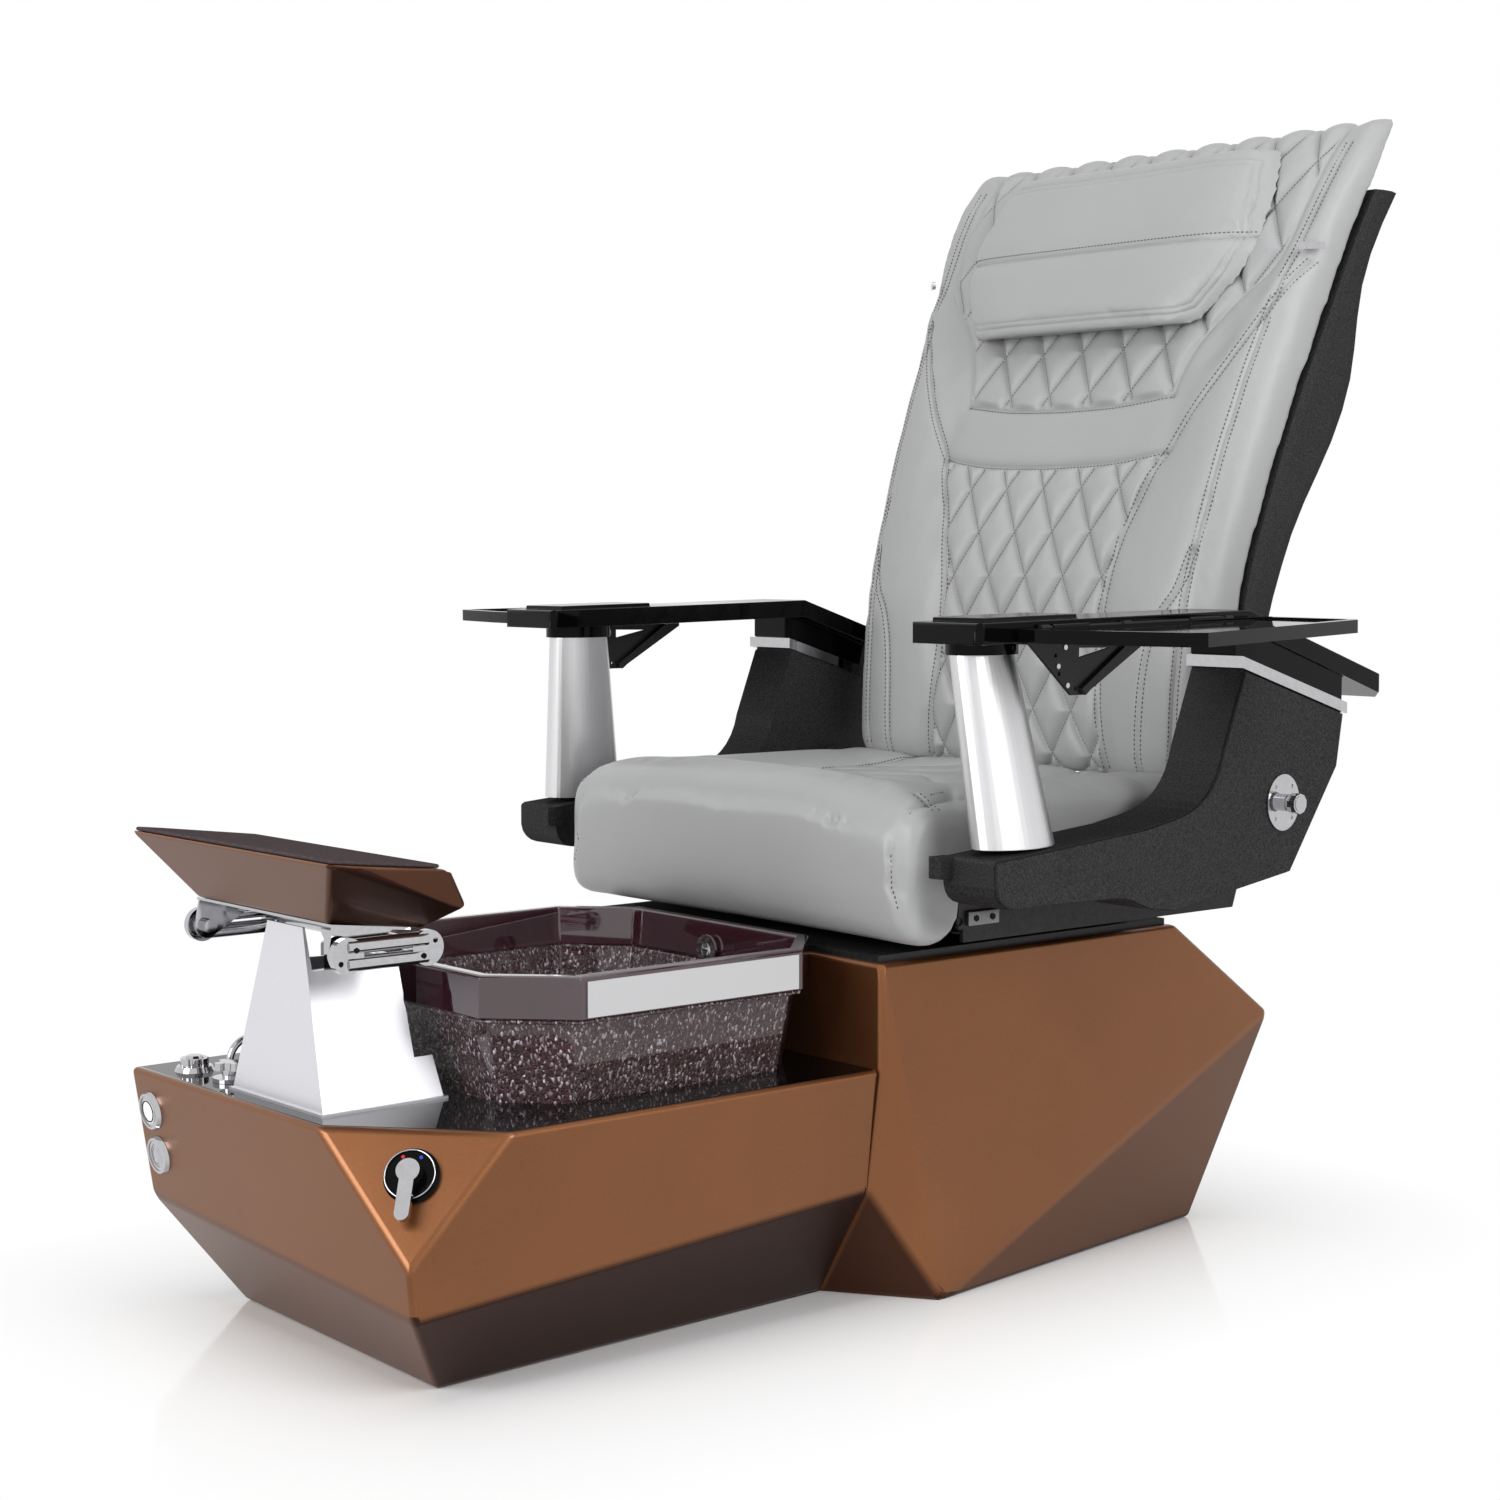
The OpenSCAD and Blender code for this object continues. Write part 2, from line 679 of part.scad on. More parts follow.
module deck_spout() {
    setback = 75;
    from = [-base_w / 2 + 109, -base_front + setback];
    rise = 12;
    reach = 54;
    tube_r = 4.5;
    color("silver") translate([from.x, from.y, deck_top]) {
        cylinder(h = 4, r = 10, $fn = fine);
        cylinder(h = rise, r = tube_r, $fn = medium);
        translate([0, reach / 2, rise]) rotate([90, 0, 90]) rotate_extrude(angle = 180, $fn = fine)
            translate([reach / 2, 0]) circle(r = tube_r, $fn = 24);
        translate([0, reach, rise - 3]) cylinder(h = 3 + fit, r = tube_r + 1, $fn = medium);
    }
}

// ---------------------------------------------------------------- footrest

axle_y = bowl_ahead + axle_ahead;
rest_y = bowl_ahead + rest_ahead;
front_axle_y = -axle_y - link_l;
post_gap = 1.5;
post_l = 158;
post_rear_y = -bowl_ahead - post_gap;
post_front_y = post_rear_y - post_l;
plate_z = deck_top + 3;      // top of the chrome sheet under the post
post_side_h = 445;
post_t = 3;
head_w = post_top_w - post_t - 1.5;

module footrest_base_plate() {
    margin = 4;
    color("silver") box(-post_foot_w - margin, post_foot_w + margin, post_front_y - margin, post_rear_y + margin,
        deck_top, plate_z);
}

// The post's side, with its cut-away rear edge and the notch above it.
module post_side_outline() {
    polygon(concat(
        [[post_front_y, plate_z], [post_rear_y, plate_z]],
        bezier([post_rear_y - 6, plate_z + 50], [post_rear_y - 12, plate_z + 75],
            [post_rear_y - 20, plate_z + 85], [post_rear_y - 26, plate_z + 88]),
        bezier([post_rear_y - 30, plate_z + 100], [post_rear_y - 34, plate_z + 115],
            [post_rear_y - 26, plate_z + 122], [post_rear_y - 24, plate_z + 128]),
        [[post_rear_y - 20, post_side_h - 4], [post_front_y + 13, post_side_h]]
    ));
}

module post_solid(t) {
    top_front = post_front_y + 13;
    convex(both([
        [post_foot_w - t, post_front_y + t, plate_z], [post_foot_w - t, post_rear_y - (t > 0 ? -over : 0), plate_z],
        [post_top_w - t, top_front + t, post_h], [post_top_w - t, top_front + 140, post_h]
    ]));
}

module footrest_post() {
    color("#dcdcde") difference() {
        post_solid(0);
        translate([0, 0, -over]) post_solid(post_t);
        box(-post_foot_w, post_foot_w, post_front_y + 13 + post_t, 0, post_side_h, post_h + over);
        difference() {
            box(-post_foot_w - over, post_foot_w + over, post_front_y + 20, 0, plate_z + 1, post_h + over);
            along_x(-post_foot_w - 2, post_foot_w + 2) post_side_outline();
        }
        box(-post_foot_w + 14, post_foot_w - 14, post_rear_y - 30, 0, plate_z + over, post_h);
    }
}

axle_r = 8;
head_r = 17;

module footrest_head() {
    foot_w = 60;
    foot_l = 110;
    color("#1a1a1c") difference() {
        union() {
            box(-head_w + 6, head_w - 6, -axle_y - head_r, -axle_y + head_r, plate_z + 8, axle_z);
            rod_x(-head_w, head_w, head_r, -axle_y, axle_z);
            box(-foot_w, foot_w, -axle_y - foot_l / 2, -axle_y + foot_l / 3, plate_z, plate_z + 10);
            box(-head_w + 6, head_w - 6, post_front_y + 40, -axle_y, post_side_h - 60, post_side_h - 10);
        }
        rod_x(-foot_w, foot_w, axle_r + run, -axle_y, axle_z);
    }
}

disc_t = 9;
disc_x = ear_x + 7;
screw_r = 3.2;

// A link disc with its two cap screws, on the outer end of an axle.
module link_disc(y) {
    sink = 2;
    translate([disc_x, y, axle_z]) rotate([0, 90, 0]) difference() {
        cylinder(h = disc_t, r = disc_r, $fn = fine);
        for (a = [-50, 130]) rotate(a) translate([disc_r * 0.6, 0, disc_t - sink]) cylinder(h = disc_t, r = screw_r, $fn = 24);
    }
}

module footrest_links() {
    bar_r = 8.5;
    bar_gap = 9.5;
    color("silver") {
        rod_x(-disc_x - over, disc_x + over, axle_r, -axle_y, axle_z);
        for (side = [-1, 1]) on_side(side) {
            link_disc(-axle_y);
            link_disc(front_axle_y);
            rod_x(ear_x + fit, disc_x + over, axle_r + 4, front_axle_y, axle_z);
            rod_x(ear_x - 12, disc_x, axle_r, front_axle_y, axle_z);
            for (s = [-1, 1]) rod_y(front_axle_y, -axle_y, bar_r, ear_x + bar_r + 2, axle_z + s * bar_gap);
        }
    }
}

// Children drawn with their origin on the block's front top edge, with the block's slope.
module on_rest() {
    translate([0, -rest_y, rest_z]) rotate([-rest_tilt, 0, 0]) children();
}

block_h = rest_h - pad_t;
rest_top = both([
    [rest_w / 2 - 2, 0, -pad_t], [rest_w / 2, 38, -pad_t], [rest_w / 2 - 22, rest_l - 12, -pad_t],
    [rest_w / 2 - 24, rest_l, -pad_t - 4]
]);
rest_under = both([
    [rest_under_w / 2, rest_rake, -rest_h], [rest_under_w / 2 + 18, rest_l - 6, -rest_h],
    [rest_w / 2 - 24, rest_l + 20, -rest_h + 34], [rest_w / 2 - 22, rest_l + 16, -rest_h + 26]
]);

module footrest_block() {
    color(copper) on_rest() convex(concat(rest_top, rest_under));
}

module footrest_pad() {
    margin = 5;
    color("#4b2c1d") on_rest() translate([0, 0, -pad_t + fit]) linear_extrude(pad_t - fit)
        polygon(inset([
            [-rest_w / 2 + 2, 0], [rest_w / 2 - 2, 0], [rest_w / 2, 38], [rest_w / 2 - 22, rest_l - 12],
            [-rest_w / 2 + 22, rest_l - 12], [-rest_w / 2, 38]
        ], margin));
}

bracket_t = 3;

module footrest_bracket() {
    under_z = -rest_h - fit;
    ear_r = 15;
    front = rest_rake + 2;
    ear_y = rest_rake + 4;
    window = 58;
    color("silver") {
        on_rest() difference() {
            box(-ear_x, ear_x, front, rest_l - 14, under_z - bracket_t, under_z);
            box(-window, window, front + 30, rest_l, under_z - 2 * bracket_t, under_z + over);
        }
        for (side = [-1, 1]) on_side(side) difference() {
            hull() {
                rod_x(ear_x - bracket_t, ear_x, ear_r, front_axle_y, axle_z);
                on_rest() box(ear_x - bracket_t, ear_x, ear_y, ear_y + 76, under_z - bracket_t, under_z - 1);
            }
            rod_x(0, 2 * ear_x, axle_r + run, front_axle_y, axle_z);
        }
    }
}

// ---------------------------------------------------------------- seat slide and frame

plate_top = pedestal_h + seat_plate_t;

module seat_base_plate() {
    half_w = 286;
    front = face_y + 8;
    rear = face_y + pedestal_top_l - 8;
    color(gloss_black) difference() {
        box(-half_w, half_w, front, rear, pedestal_h, plate_top);
        for (x = [-1, 1], y = [front + 20, rear - 20]) translate([x * (half_w - 20), y, plate_top - 3])
            cylinder(h = 6, r = 6, $fn = 6);
    }
}

rail_x = 210;
rail_y0 = 190;
rail_l = 300;
rail_w = 40;
rail_h = 18;
rail_wall = 3;
rail_mouth = 20;
carriage_z = plate_top + rail_h + 6;
carriage_t = 6;
rod_z = plate_top + 11;
rod_r = 6;

module slide_rails() {
    color("dimgray") for (side = [-1, 1]) on_side(side) translate([rail_x, rail_y0, plate_top]) difference() {
        translate([-rail_w / 2, 0, 0]) cube([rail_w, rail_l, rail_h]);
        translate([-rail_w / 2 + rail_wall, -over, rail_wall])
            cube([rail_w - 2 * rail_wall, rail_l + 2 * over, rail_h - 2 * rail_wall]);
        translate([-rail_mouth / 2, -over, rail_wall]) cube([rail_mouth, rail_l + 2 * over, rail_h]);
    }
}

module slide_actuator_body() {
    body_l = 145;
    color("#2b2b2e") difference() {
        box(-28, 28, rail_y0 + 15, rail_y0 + 15 + body_l, plate_top, plate_top + 22);
        rod_y(rail_y0 + 35, rail_y0 + 16 + body_l, rod_r + run, 0, rod_z);
    }
}

module slide_actuator_rod() {
    color("silver") {
        rod_y(rail_y0 + 43, rail_y0 + 262, rod_r, 0, rod_z);
        box(-12, 12, rail_y0 + 262, rail_y0 + 278, plate_top + 3, carriage_z);
    }
}

module slide_carriage() {
    runner_l = rail_l - seat_travel - 7;
    stem = 16;
    color("#2b2b2e") {
        for (side = [-1, 1]) on_side(side) translate([rail_x, rail_y0 + 2, plate_top]) {
            translate([-rail_w / 2 + rail_wall + fit, 0, rail_wall + fit])
                cube([rail_w - 2 * rail_wall - 2 * fit, runner_l, rail_h - 2 * rail_wall - 2 * fit]);
            translate([-stem / 2, 0, rail_wall + fit]) cube([stem, runner_l, carriage_z - plate_top - rail_wall]);
        }
        difference() {
            box(-rail_x - 34, rail_x + 34, 110, 480, carriage_z, carriage_z + carriage_t);
            box(-150, 150, 200, 400, carriage_z - over, carriage_z + carriage_t + over);
        }
    }
}

frame_z = carriage_z + carriage_t;
frame_front = 88;
frame_rear = 516;
pan_t = 6;
pan_half_w = 344;
side_x0 = 324;
side_t = 6;
ear_r = 24;
recline_r = 8;
arm_pin_r = 12;
arm_plate_x = 368;
arm_plate_t = 8;

module seat_frame() {
    color("#232326") difference() {
        union() {
            box(-pan_half_w, pan_half_w, frame_front, frame_rear, pan_z - pan_t, pan_z);
            for (side = [-1, 1]) on_side(side) {
                box(side_x0, side_x0 + side_t, frame_front, recline_y, frame_z - 18, pan_z - over);
                along_x(side_x0, side_x0 + side_t) polygon([
                    [frame_rear + 8, frame_z - 18], [recline_y, frame_z - 18], [recline_y + ear_r, recline_z],
                    [recline_y - ear_r, recline_z], [frame_rear + 8, pan_z]
                ]);
                rod_x(side_x0, side_x0 + side_t, ear_r, recline_y, recline_z);
                box(pan_half_w - over, arm_plate_x + over, 440, frame_rear, pan_z - pan_t, pan_z);
                along_x(arm_plate_x, arm_plate_x + arm_plate_t) polygon([
                    [430, pan_z - pan_t], [frame_rear + 20, pan_z - pan_t], [arm_pivot_y + 26, arm_pivot_z],
                    [arm_pivot_y - 26, arm_pivot_z]
                ]);
                rod_x(arm_plate_x, arm_plate_x + arm_plate_t, 26, arm_pivot_y, arm_pivot_z);
                rod_x(arm_plate_x, arm_in + 50, arm_pin_r, arm_pivot_y, arm_pivot_z);
                box(side_x0, arm_in + 30, frame_front - 8, frame_front + 32, pan_z - pan_t - 3, housing_floor - fit);
                box(side_x0, side_x0 + side_t, frame_front - 8, frame_front + over, frame_z - 2, pan_z - pan_t);
            }
            for (y = [110, 440]) box(-side_x0 - over, side_x0 + over, y, y + 30, frame_z, pan_z - over);
        }
        for (side = [-1, 1]) on_side(side) {
            rod_x(side_x0 - over, side_x0 + side_t + over, recline_r + run, recline_y, recline_z);
            for (y = [frame_front - 6, frame_front + 26])
                rod_x(side_x0 + side_t - 2, side_x0 + side_t + over, 5, y, frame_z + 8);
        }
    }
}

module recline_motor() {
    motor_r = 26;
    half_l = 60;
    color("#3a3a3d") difference() {
        union() {
            rod_x(-half_l, half_l, motor_r, recline_y, recline_z);
            box(-half_l + 10, half_l - 10, frame_rear + fit, recline_y, pan_z - 24, pan_z - 6);
            rod_x(half_l - over, half_l + 70, motor_r - 9, recline_y, recline_z);
        }
        rod_x(-half_l - over, half_l + 71, recline_r + run, recline_y, recline_z);
    }
}

// ---------------------------------------------------------------- seat cushion

panel_half_w = 190;      // half width of the cushion's centre panel
bolster_rise = 14;       // the side bolsters stand this far above the centre
side_droop = 34;         // the front roll drops this far towards its sides
channel_d = 5;           // depth of the sewn channels

// Half width left at a given distance past the start of the rounded side.
function side_round(x, half, r) = x < half - r ? 0 : r - sqrt(max(r * r - pow(x - half + r, 2), 0));

// Height of the seat's upper face at x across and y along the seat.
function seat_top(x, y) =
    let (
        u = abs(x) / seat_half_w,
        front = smooth([[-60, 1], [20, 1], [70, 0.72], [140, 0.16], [200, 0], [560, 0]], y),
        bolster = abs(x) < panel_half_w ? 0
            : bolster_rise * pow(sin(180 * (abs(x) - panel_half_w) / (seat_half_w - panel_half_w)), 2)
                * smooth([[-60, 1], [400, 1], [490, 0], [600, -0.2]], y),
        seam = channel_d * exp(-pow((abs(x) - panel_half_w) / 9, 2)),
        channel = abs(x) < panel_half_w ? channel_d * pow(abs(sin(180 * (y - 60) / 70)), 6) * (y > 60 ? 1 : 0) : 0
    )
    seat_h + (roll_h - seat_h - side_droop * pow(u, 3)) * front + (bolster - seam) * (1 - front)
        - channel * 0.5 * (1 - front);

// The seat's closed side outline at x, from the rear lower edge over the top to the front roll.
function seat_ring(x) =
    let (
        d = side_round(abs(x), seat_half_w, 24),
        s = sign(x) * min(abs(x), seat_half_w),
        y0 = -seat_front + d,
        top = [for (y = [seat_rear - d : -38 : 40]) [s, y, seat_top(x, y) - d]]
    )
    concat(
        [[s, seat_rear - d, pan_z + fit + d]],
        top,
        [
            [s, y0 + 34, seat_top(x, 20) - d], [s, y0 + 14, seat_top(x, 10) - 10 - d], [s, y0 + 3, seat_top(x, 0) - 28 - d],
            [s, y0, seat_top(x, 0) - 52 - d], [s, y0 + 1, 540], [s, y0 + 3, 490], [s, y0 + 7, 456],
            [s, y0 + 18, 438 + d], [s, y0 + 40, 431 + d], [s, y0 + 66, 434 + d], [s, y0 + 80, 448 + d],
            [s, y0 + 86 - d, 474 + d], [s, y0 + 92 - d, pan_z + fit + d]
        ]
    );

seat_stations = [
    -1, -0.994, -0.975, -0.94, -0.87, -0.76, -0.65, -0.56, -0.535, -0.48, -0.3, -0.1,
    0.1, 0.3, 0.48, 0.535, 0.56, 0.65, 0.76, 0.87, 0.94, 0.975, 0.994, 1
];

module seat_cushion() {
    color(soft_grey) loft([for (u = seat_stations) seat_ring(u * seat_half_w)]);
}

// ---------------------------------------------------------------- backrest

back_low = 614;
back_high = 1500 + back_rise;
wing_low = 1290;

// Front face of the cushion in the middle, half width and depth of the cushion, by height.
function back_front(z) = smooth([
    [560, 506], [614, 504], [725, 508], [867, 524], [1010, 566], [1124, 610], [1198, 644], [1328, 703],
    [1400, 743], [1460, 786], [1500, 822], [1560, 880]
], z);
function back_half_w(z) = back_widen + smooth([
    [560, 338], [614, 339], [725, 341], [867, 347], [1010, 355], [1198, 367], [1328, 381], [1383, 388],
    [1430, 394], [1560, 398]
], z);
function back_depth(z) = smooth([
    [560, 70], [725, 72], [867, 74], [1010, 76], [1198, 74], [1328, 66], [1400, 58], [1460, 48],
    [1500, 40], [1560, 36]
], z);
function back_mid(z) = back_front(z) + back_depth(z);
// Rear face of the hard shell, by height.
function shell_rear(z) = smooth([
    [560, 596], [650, 620], [725, 640], [827, 668], [946, 712], [1010, 750], [1081, 790], [1148, 812], [1212, 816],
    [1287, 818], [1340, 836], [1389, 862], [1460, 900]
], z);

// Half width of the centre panel, which widens into the wings above.
function panel_w(z) = smooth([
    [560, 172], [650, 170], [836, 158], [950, 178], [1048, 214], [1124, 226], [1200, 262], [1302, 325], [1560, 372]
], z);

// How far the front face lies behind its middle at x across and height z.
function back_relief(x, z) =
    let (
        w = back_half_w(z),
        p = panel_w(z),
        u = abs(x),
        edge = side_round(u, w, 26),
        bolster = u <= p ? 0 : -13 * pow(sin(180 * min(1, (u - p) / max(w - p, 1))), 1) * (z < wing_low ? 1 : 0.3),
        seam = 6 * exp(-pow((u - p) / 8, 2)),
        wing = u > p ? 10 * pow((u - p) / max(w - p, 1), 2) : 0,
        band = 5 * exp(-pow((z - 1048 + 20 * cos(90 * u / p)) / 9, 2)) * (u < p ? 1 : 0)
    )
    edge + bolster + seam + wing + band;

back_stations = [
    -1, -0.985, -0.95, -0.88, -0.8, -0.7, -0.6, -0.52, -0.46, -0.4, -0.28, -0.14, 0,
    0.14, 0.28, 0.4, 0.46, 0.52, 0.6, 0.7, 0.8, 0.88, 0.95, 0.985, 1
];

// One level ring round the backrest cushion; d draws it in where the ends are rounded.
function back_ring(z, d = 0) =
    let (w = back_half_w(z) - d)
    concat(
        [[w, back_mid(z) - d, z], [-w, back_mid(z) - d, z]],
        [for (u = back_stations) [u * w, back_front(z) + d + back_relief(u * back_half_w(z), z), z]]
    );

function corner_round(t) = 22 * (1 - sqrt(1 - t * t));
back_levels = [for (z = [back_low + 26 : 42 : back_high - 30]) z];

module back_cushion() {
    color(soft_grey) loft(concat(
        [for (t = [1, 0.93, 0.7]) back_ring(back_low + 20 - 20 * t, corner_round(t))],
        [for (z = back_levels) back_ring(z)],
        [for (t = [0.5, 0.8, 0.95, 1]) back_ring(back_high - 24 + 24 * t, corner_round(t))]
    ));
}

shell_low = back_levels[0];
shell_wall = 7;

// One level ring of the shell, drawn in by t.
function shell_ring(z, t) =
    let (w = back_half_w(z) - 5 - t, f = back_mid(z) + fit + t, r = shell_rear(z) - t, c = min(36, (r - f) / 2.2))
    [
        [-w, f, z], [w, f, z], [w + 2, f + c / 2, z], [w, r - c, z], [w - c * 0.3, r - c * 0.3, z], [w - c, r, z],
        [-w + c, r, z], [-w + c * 0.3, r - c * 0.3, z], [-w, r - c, z], [-w - 2, f + c / 2, z]
    ];

module back_shell() {
    color("#1c1c1e") difference() {
        loft([for (z = back_levels) if (z < back_high - 90) shell_ring(z, 0)]);
        loft([for (z = back_levels) if (z < back_high - 260) shell_ring(max(z, shell_low + shell_wall), shell_wall)]);
    }
}

frame_x = 300;
frame_t = 8;

module back_frame() {
    foot_y = back_mid(back_low) + 6;
    color("#232326") difference() {
        union() {
            for (side = [-1, 1]) on_side(side) {
                along_x(frame_x, frame_x + frame_t) polygon([
                    [recline_y - ear_r, recline_z], [recline_y + ear_r, recline_z],
                    [shell_rear(shell_low) - 3, shell_low - fit], [foot_y, shell_low - fit]
                ]);
                rod_x(frame_x, frame_x + frame_t, ear_r, recline_y, recline_z);
            }
            box(-frame_x - frame_t, frame_x + frame_t, foot_y, shell_rear(shell_low) - 3, shell_low - 10, shell_low - fit);
            rod_x(-side_x0 - side_t, side_x0 + side_t, recline_r, recline_y, recline_z);
        }
    }
}

// ---------------------------------------------------------------- massage mechanism

rail_foot = [0, 656, 925];
rail_head = [0, 762, 1190];
rail_lean = atan2(rail_head.y - rail_foot.y, rail_head.z - rail_foot.z);
massage_travel = 130;
massage_rail_x = 150;
massage_rail_r = 7;

module on_massage() {
    translate(rail_foot) rotate([-rail_lean, 0, 0]) children();
}

massage_rail_l = norm(rail_head - rail_foot);
massage_start = 28;

// Distance from the rails back to the shell's inside at h along the rails.
function rail_reach(h) =
    let (
        y = rail_foot.y + h * sin(rail_lean),
        z = rail_foot.z + h * cos(rail_lean),
        first = (shell_rear(z) - shell_wall - y) / cos(rail_lean)
    )
    (shell_rear(z - first * sin(rail_lean)) - shell_wall - y) / cos(rail_lean) - 3 * fit;

module massage_rails() {
    tie = 14;
    color("silver") on_massage() {
        for (side = [-1, 1]) on_side(side) {
            translate([massage_rail_x, 0, 0]) cylinder(h = massage_rail_l, r = massage_rail_r, $fn = medium);
            for (z = [0, massage_rail_l - tie])
                box(massage_rail_x - tie, massage_rail_x + tie, 0, min(rail_reach(z), rail_reach(z + tie)), z, z + tie);
        }
        for (z = [0, massage_rail_l - tie]) box(-massage_rail_x - tie, massage_rail_x + tie, 14, 24, z, z + tie);
    }
}

roller_axle_r = 5;
roller_z = massage_start + 30;
roller_y = -14;

module massage_carriage() {
    plate_t = 8;
    plate_h = 60;
    color("#2b2b2e") on_massage() translate([0, 0, massage_start]) difference() {
        union() {
            for (side = [-1, 1]) on_side(side)
                translate([massage_rail_x, 0, 0]) cylinder(h = plate_h, r = massage_rail_r + 6, $fn = medium);
            box(-massage_rail_x, massage_rail_x, -plate_t / 2, plate_t / 2, 6, plate_h - 6);
            for (side = [-1, 1]) on_side(side)
                box(roller_span / 2 + 20, roller_span / 2 + 28, roller_y - 9, 0, 20, 40);
        }
        for (side = [-1, 1]) on_side(side) {
            translate([massage_rail_x, 0, -over]) cylinder(h = plate_h + 2 * over, r = massage_rail_r + run, $fn = medium);
            rod_x(0, massage_rail_x, roller_axle_r + run, roller_y, 30);
        }
        for (x = [-1, 1]) box(x * roller_span / 2 - 22, x * roller_span / 2 + 18, -plate_t, plate_t, 10, 50);
        for (x = [-1, 1]) box(x * roller_span / 4 - 16, x * roller_span / 4 + 16, -plate_t, plate_t, 10, 50);
    }
}

module massage_rollers() {
    roller_r = 17;
    roller_w = 20;
    color("#6d6e72") on_massage() {
        rod_x(-roller_span / 2 - 32, roller_span / 2 + 32, roller_axle_r, roller_y, roller_z);
        for (x = [-1, -0.5, 0.5, 1])
            rod_x(x * roller_span / 2 - roller_w / 2, x * roller_span / 2 + roller_w / 2, roller_r, roller_y, roller_z);
    }
}

// ---------------------------------------------------------------- pillow

pillow_low = 1212;
pillow_high = 1468;
function pillow_w(z) = smooth([[1180, 214], [1212, 224], [1270, 262], [1326, 286], [1400, 280], [1468, 258], [1500, 250]], z)
    * pillow_half_w / 286;
pillow_gap = 0.8;

// One level ring of the pillow: a flat back on the cushion and a crowned face with a seam across it.
function pillow_ring(z, d) =
    let (w = pillow_w(z) - d, back = back_front(z) - pillow_gap, n = 14)
    concat(
        [for (i = [1 : n - 1]) let (
            u = -1 + 2 * i / n,
            seam = 4 * exp(-pow((z - 1336 - 6 * u * u) / 9, 2)),
            bulge = (pillow_t - 2 * d) * pow(max(1 - pow(abs(u), 5), 0), 0.5)
        )
            [u * w, back - d - max(bulge - seam, 0), z]],
        [for (u = [1, -1]) [u * w, back - d, z]]
    );

module pillow() {
    round_r = 20;
    color(soft_grey) loft(concat(
        [for (t = [1, 0.9, 0.6]) pillow_ring(pillow_low + round_r * (1 - t), round_r * (1 - sqrt(1 - t * t)) * 0.6)],
        [for (z = [pillow_low + round_r + 8 : 24 : pillow_high - round_r - 4]) pillow_ring(z, 0)],
        [for (t = [0.6, 0.9, 1]) pillow_ring(pillow_high - round_r * (1 - t), round_r * (1 - sqrt(1 - t * t)) * 0.6)]
    ));
}

clip_z = 1311;

module pillow_clips() {
    clip_w = 9;
    clip_t = 2;
    clip_l = 34;
    clip_x = 361;
    lie = back_front(clip_z) + back_relief(clip_x, clip_z);
    lean = atan((back_relief(clip_x + 1, clip_z) - back_relief(clip_x - 1, clip_z)) / 2);
    color("silver") for (side = [-1, 1]) on_side(side)
        translate([clip_x, lie, clip_z]) rotate([0, 0, lean]) translate([-clip_l / 2, -clip_t - 2 * fit, 0]) {
            cube([clip_l, clip_t, clip_w]);
            translate([clip_w / 2, clip_t, clip_w / 2]) rotate([90, 0, 0]) cylinder(h = 5, r = 6, $fn = medium);
        }
}

// ---------------------------------------------------------------- arms

housing_floor = 497;
band_h = 15;
top_slope = 17.3;
top_front = [434, 764];
top_rear = [631, 702.6];

// Side outline of the arm housing, [y, z], anticlockwise seen from the sitter's left.
housing_outline = concat(
    bezier([-2, 524], [0, 506], [14, housing_floor], [34, housing_floor], 5),
    [[74, housing_floor + 1], [200, housing_floor - 1]],
    bezier([216, 494], [240, 489], [250, 479], [270, 477], 5),
    [[308, 472], [527, 503], [619, 634], top_rear, top_front],
    bezier([396, 666], [386, 620], [356, 594], [300, 585], 8),
    [[252, 577], [97, 564], [2, 556]],
    [[-2, 552]]
);

module arm_housing(side) {
    edge = 5;
    color("#202022") on_side(side) difference() {
        union() {
            along_x(arm_in, arm_out - edge) polygon(housing_outline);
            along_x(arm_out - edge - over, arm_out) polygon(inset(housing_outline, 2));
            box(arm_in - 6, arm_in + 14, -20, 4, 530, 556);
        }
        rod_x(arm_in - over, arm_in + 52, arm_pin_r + run, arm_pivot_y, arm_pivot_z);
        rod_x(arm_in + 56, arm_out + over, knob_stem_r + run, arm_pivot_y, arm_pivot_z);
    }
}

post_low = [428, 73, 565];
post_up = [400, 47, 790];

module arm_post(side) {
    color("#d0d0d4") on_side(side) difference() {
        hull() {
            translate(post_low) linear_extrude(over) polygon(ellipse(36, 60));
            translate(post_up) linear_extrude(over) polygon(ellipse(30, 45));
        }
        along_x(arm_in - 60, arm_out + 60) polygon(concat([[-80, 400], [400, 400]], [[400, 590]], [[252, 577.3], [97, 564.3], [2, 556.3], [-80, 552]]));
    }
}

pitch = tan(arm_pitch);
bend_y = 445;
armrest_rear = 735;
rear_slope = tan(18.2);
function armrest_top(y) = y < bend_y ? armrest_z + pitch * (y + armrest_front)
    : armrest_z + pitch * (bend_y + armrest_front) - rear_slope * (y - bend_y);
collar_z = post_up.z + 1 + fit;
mount_y0 = 424;

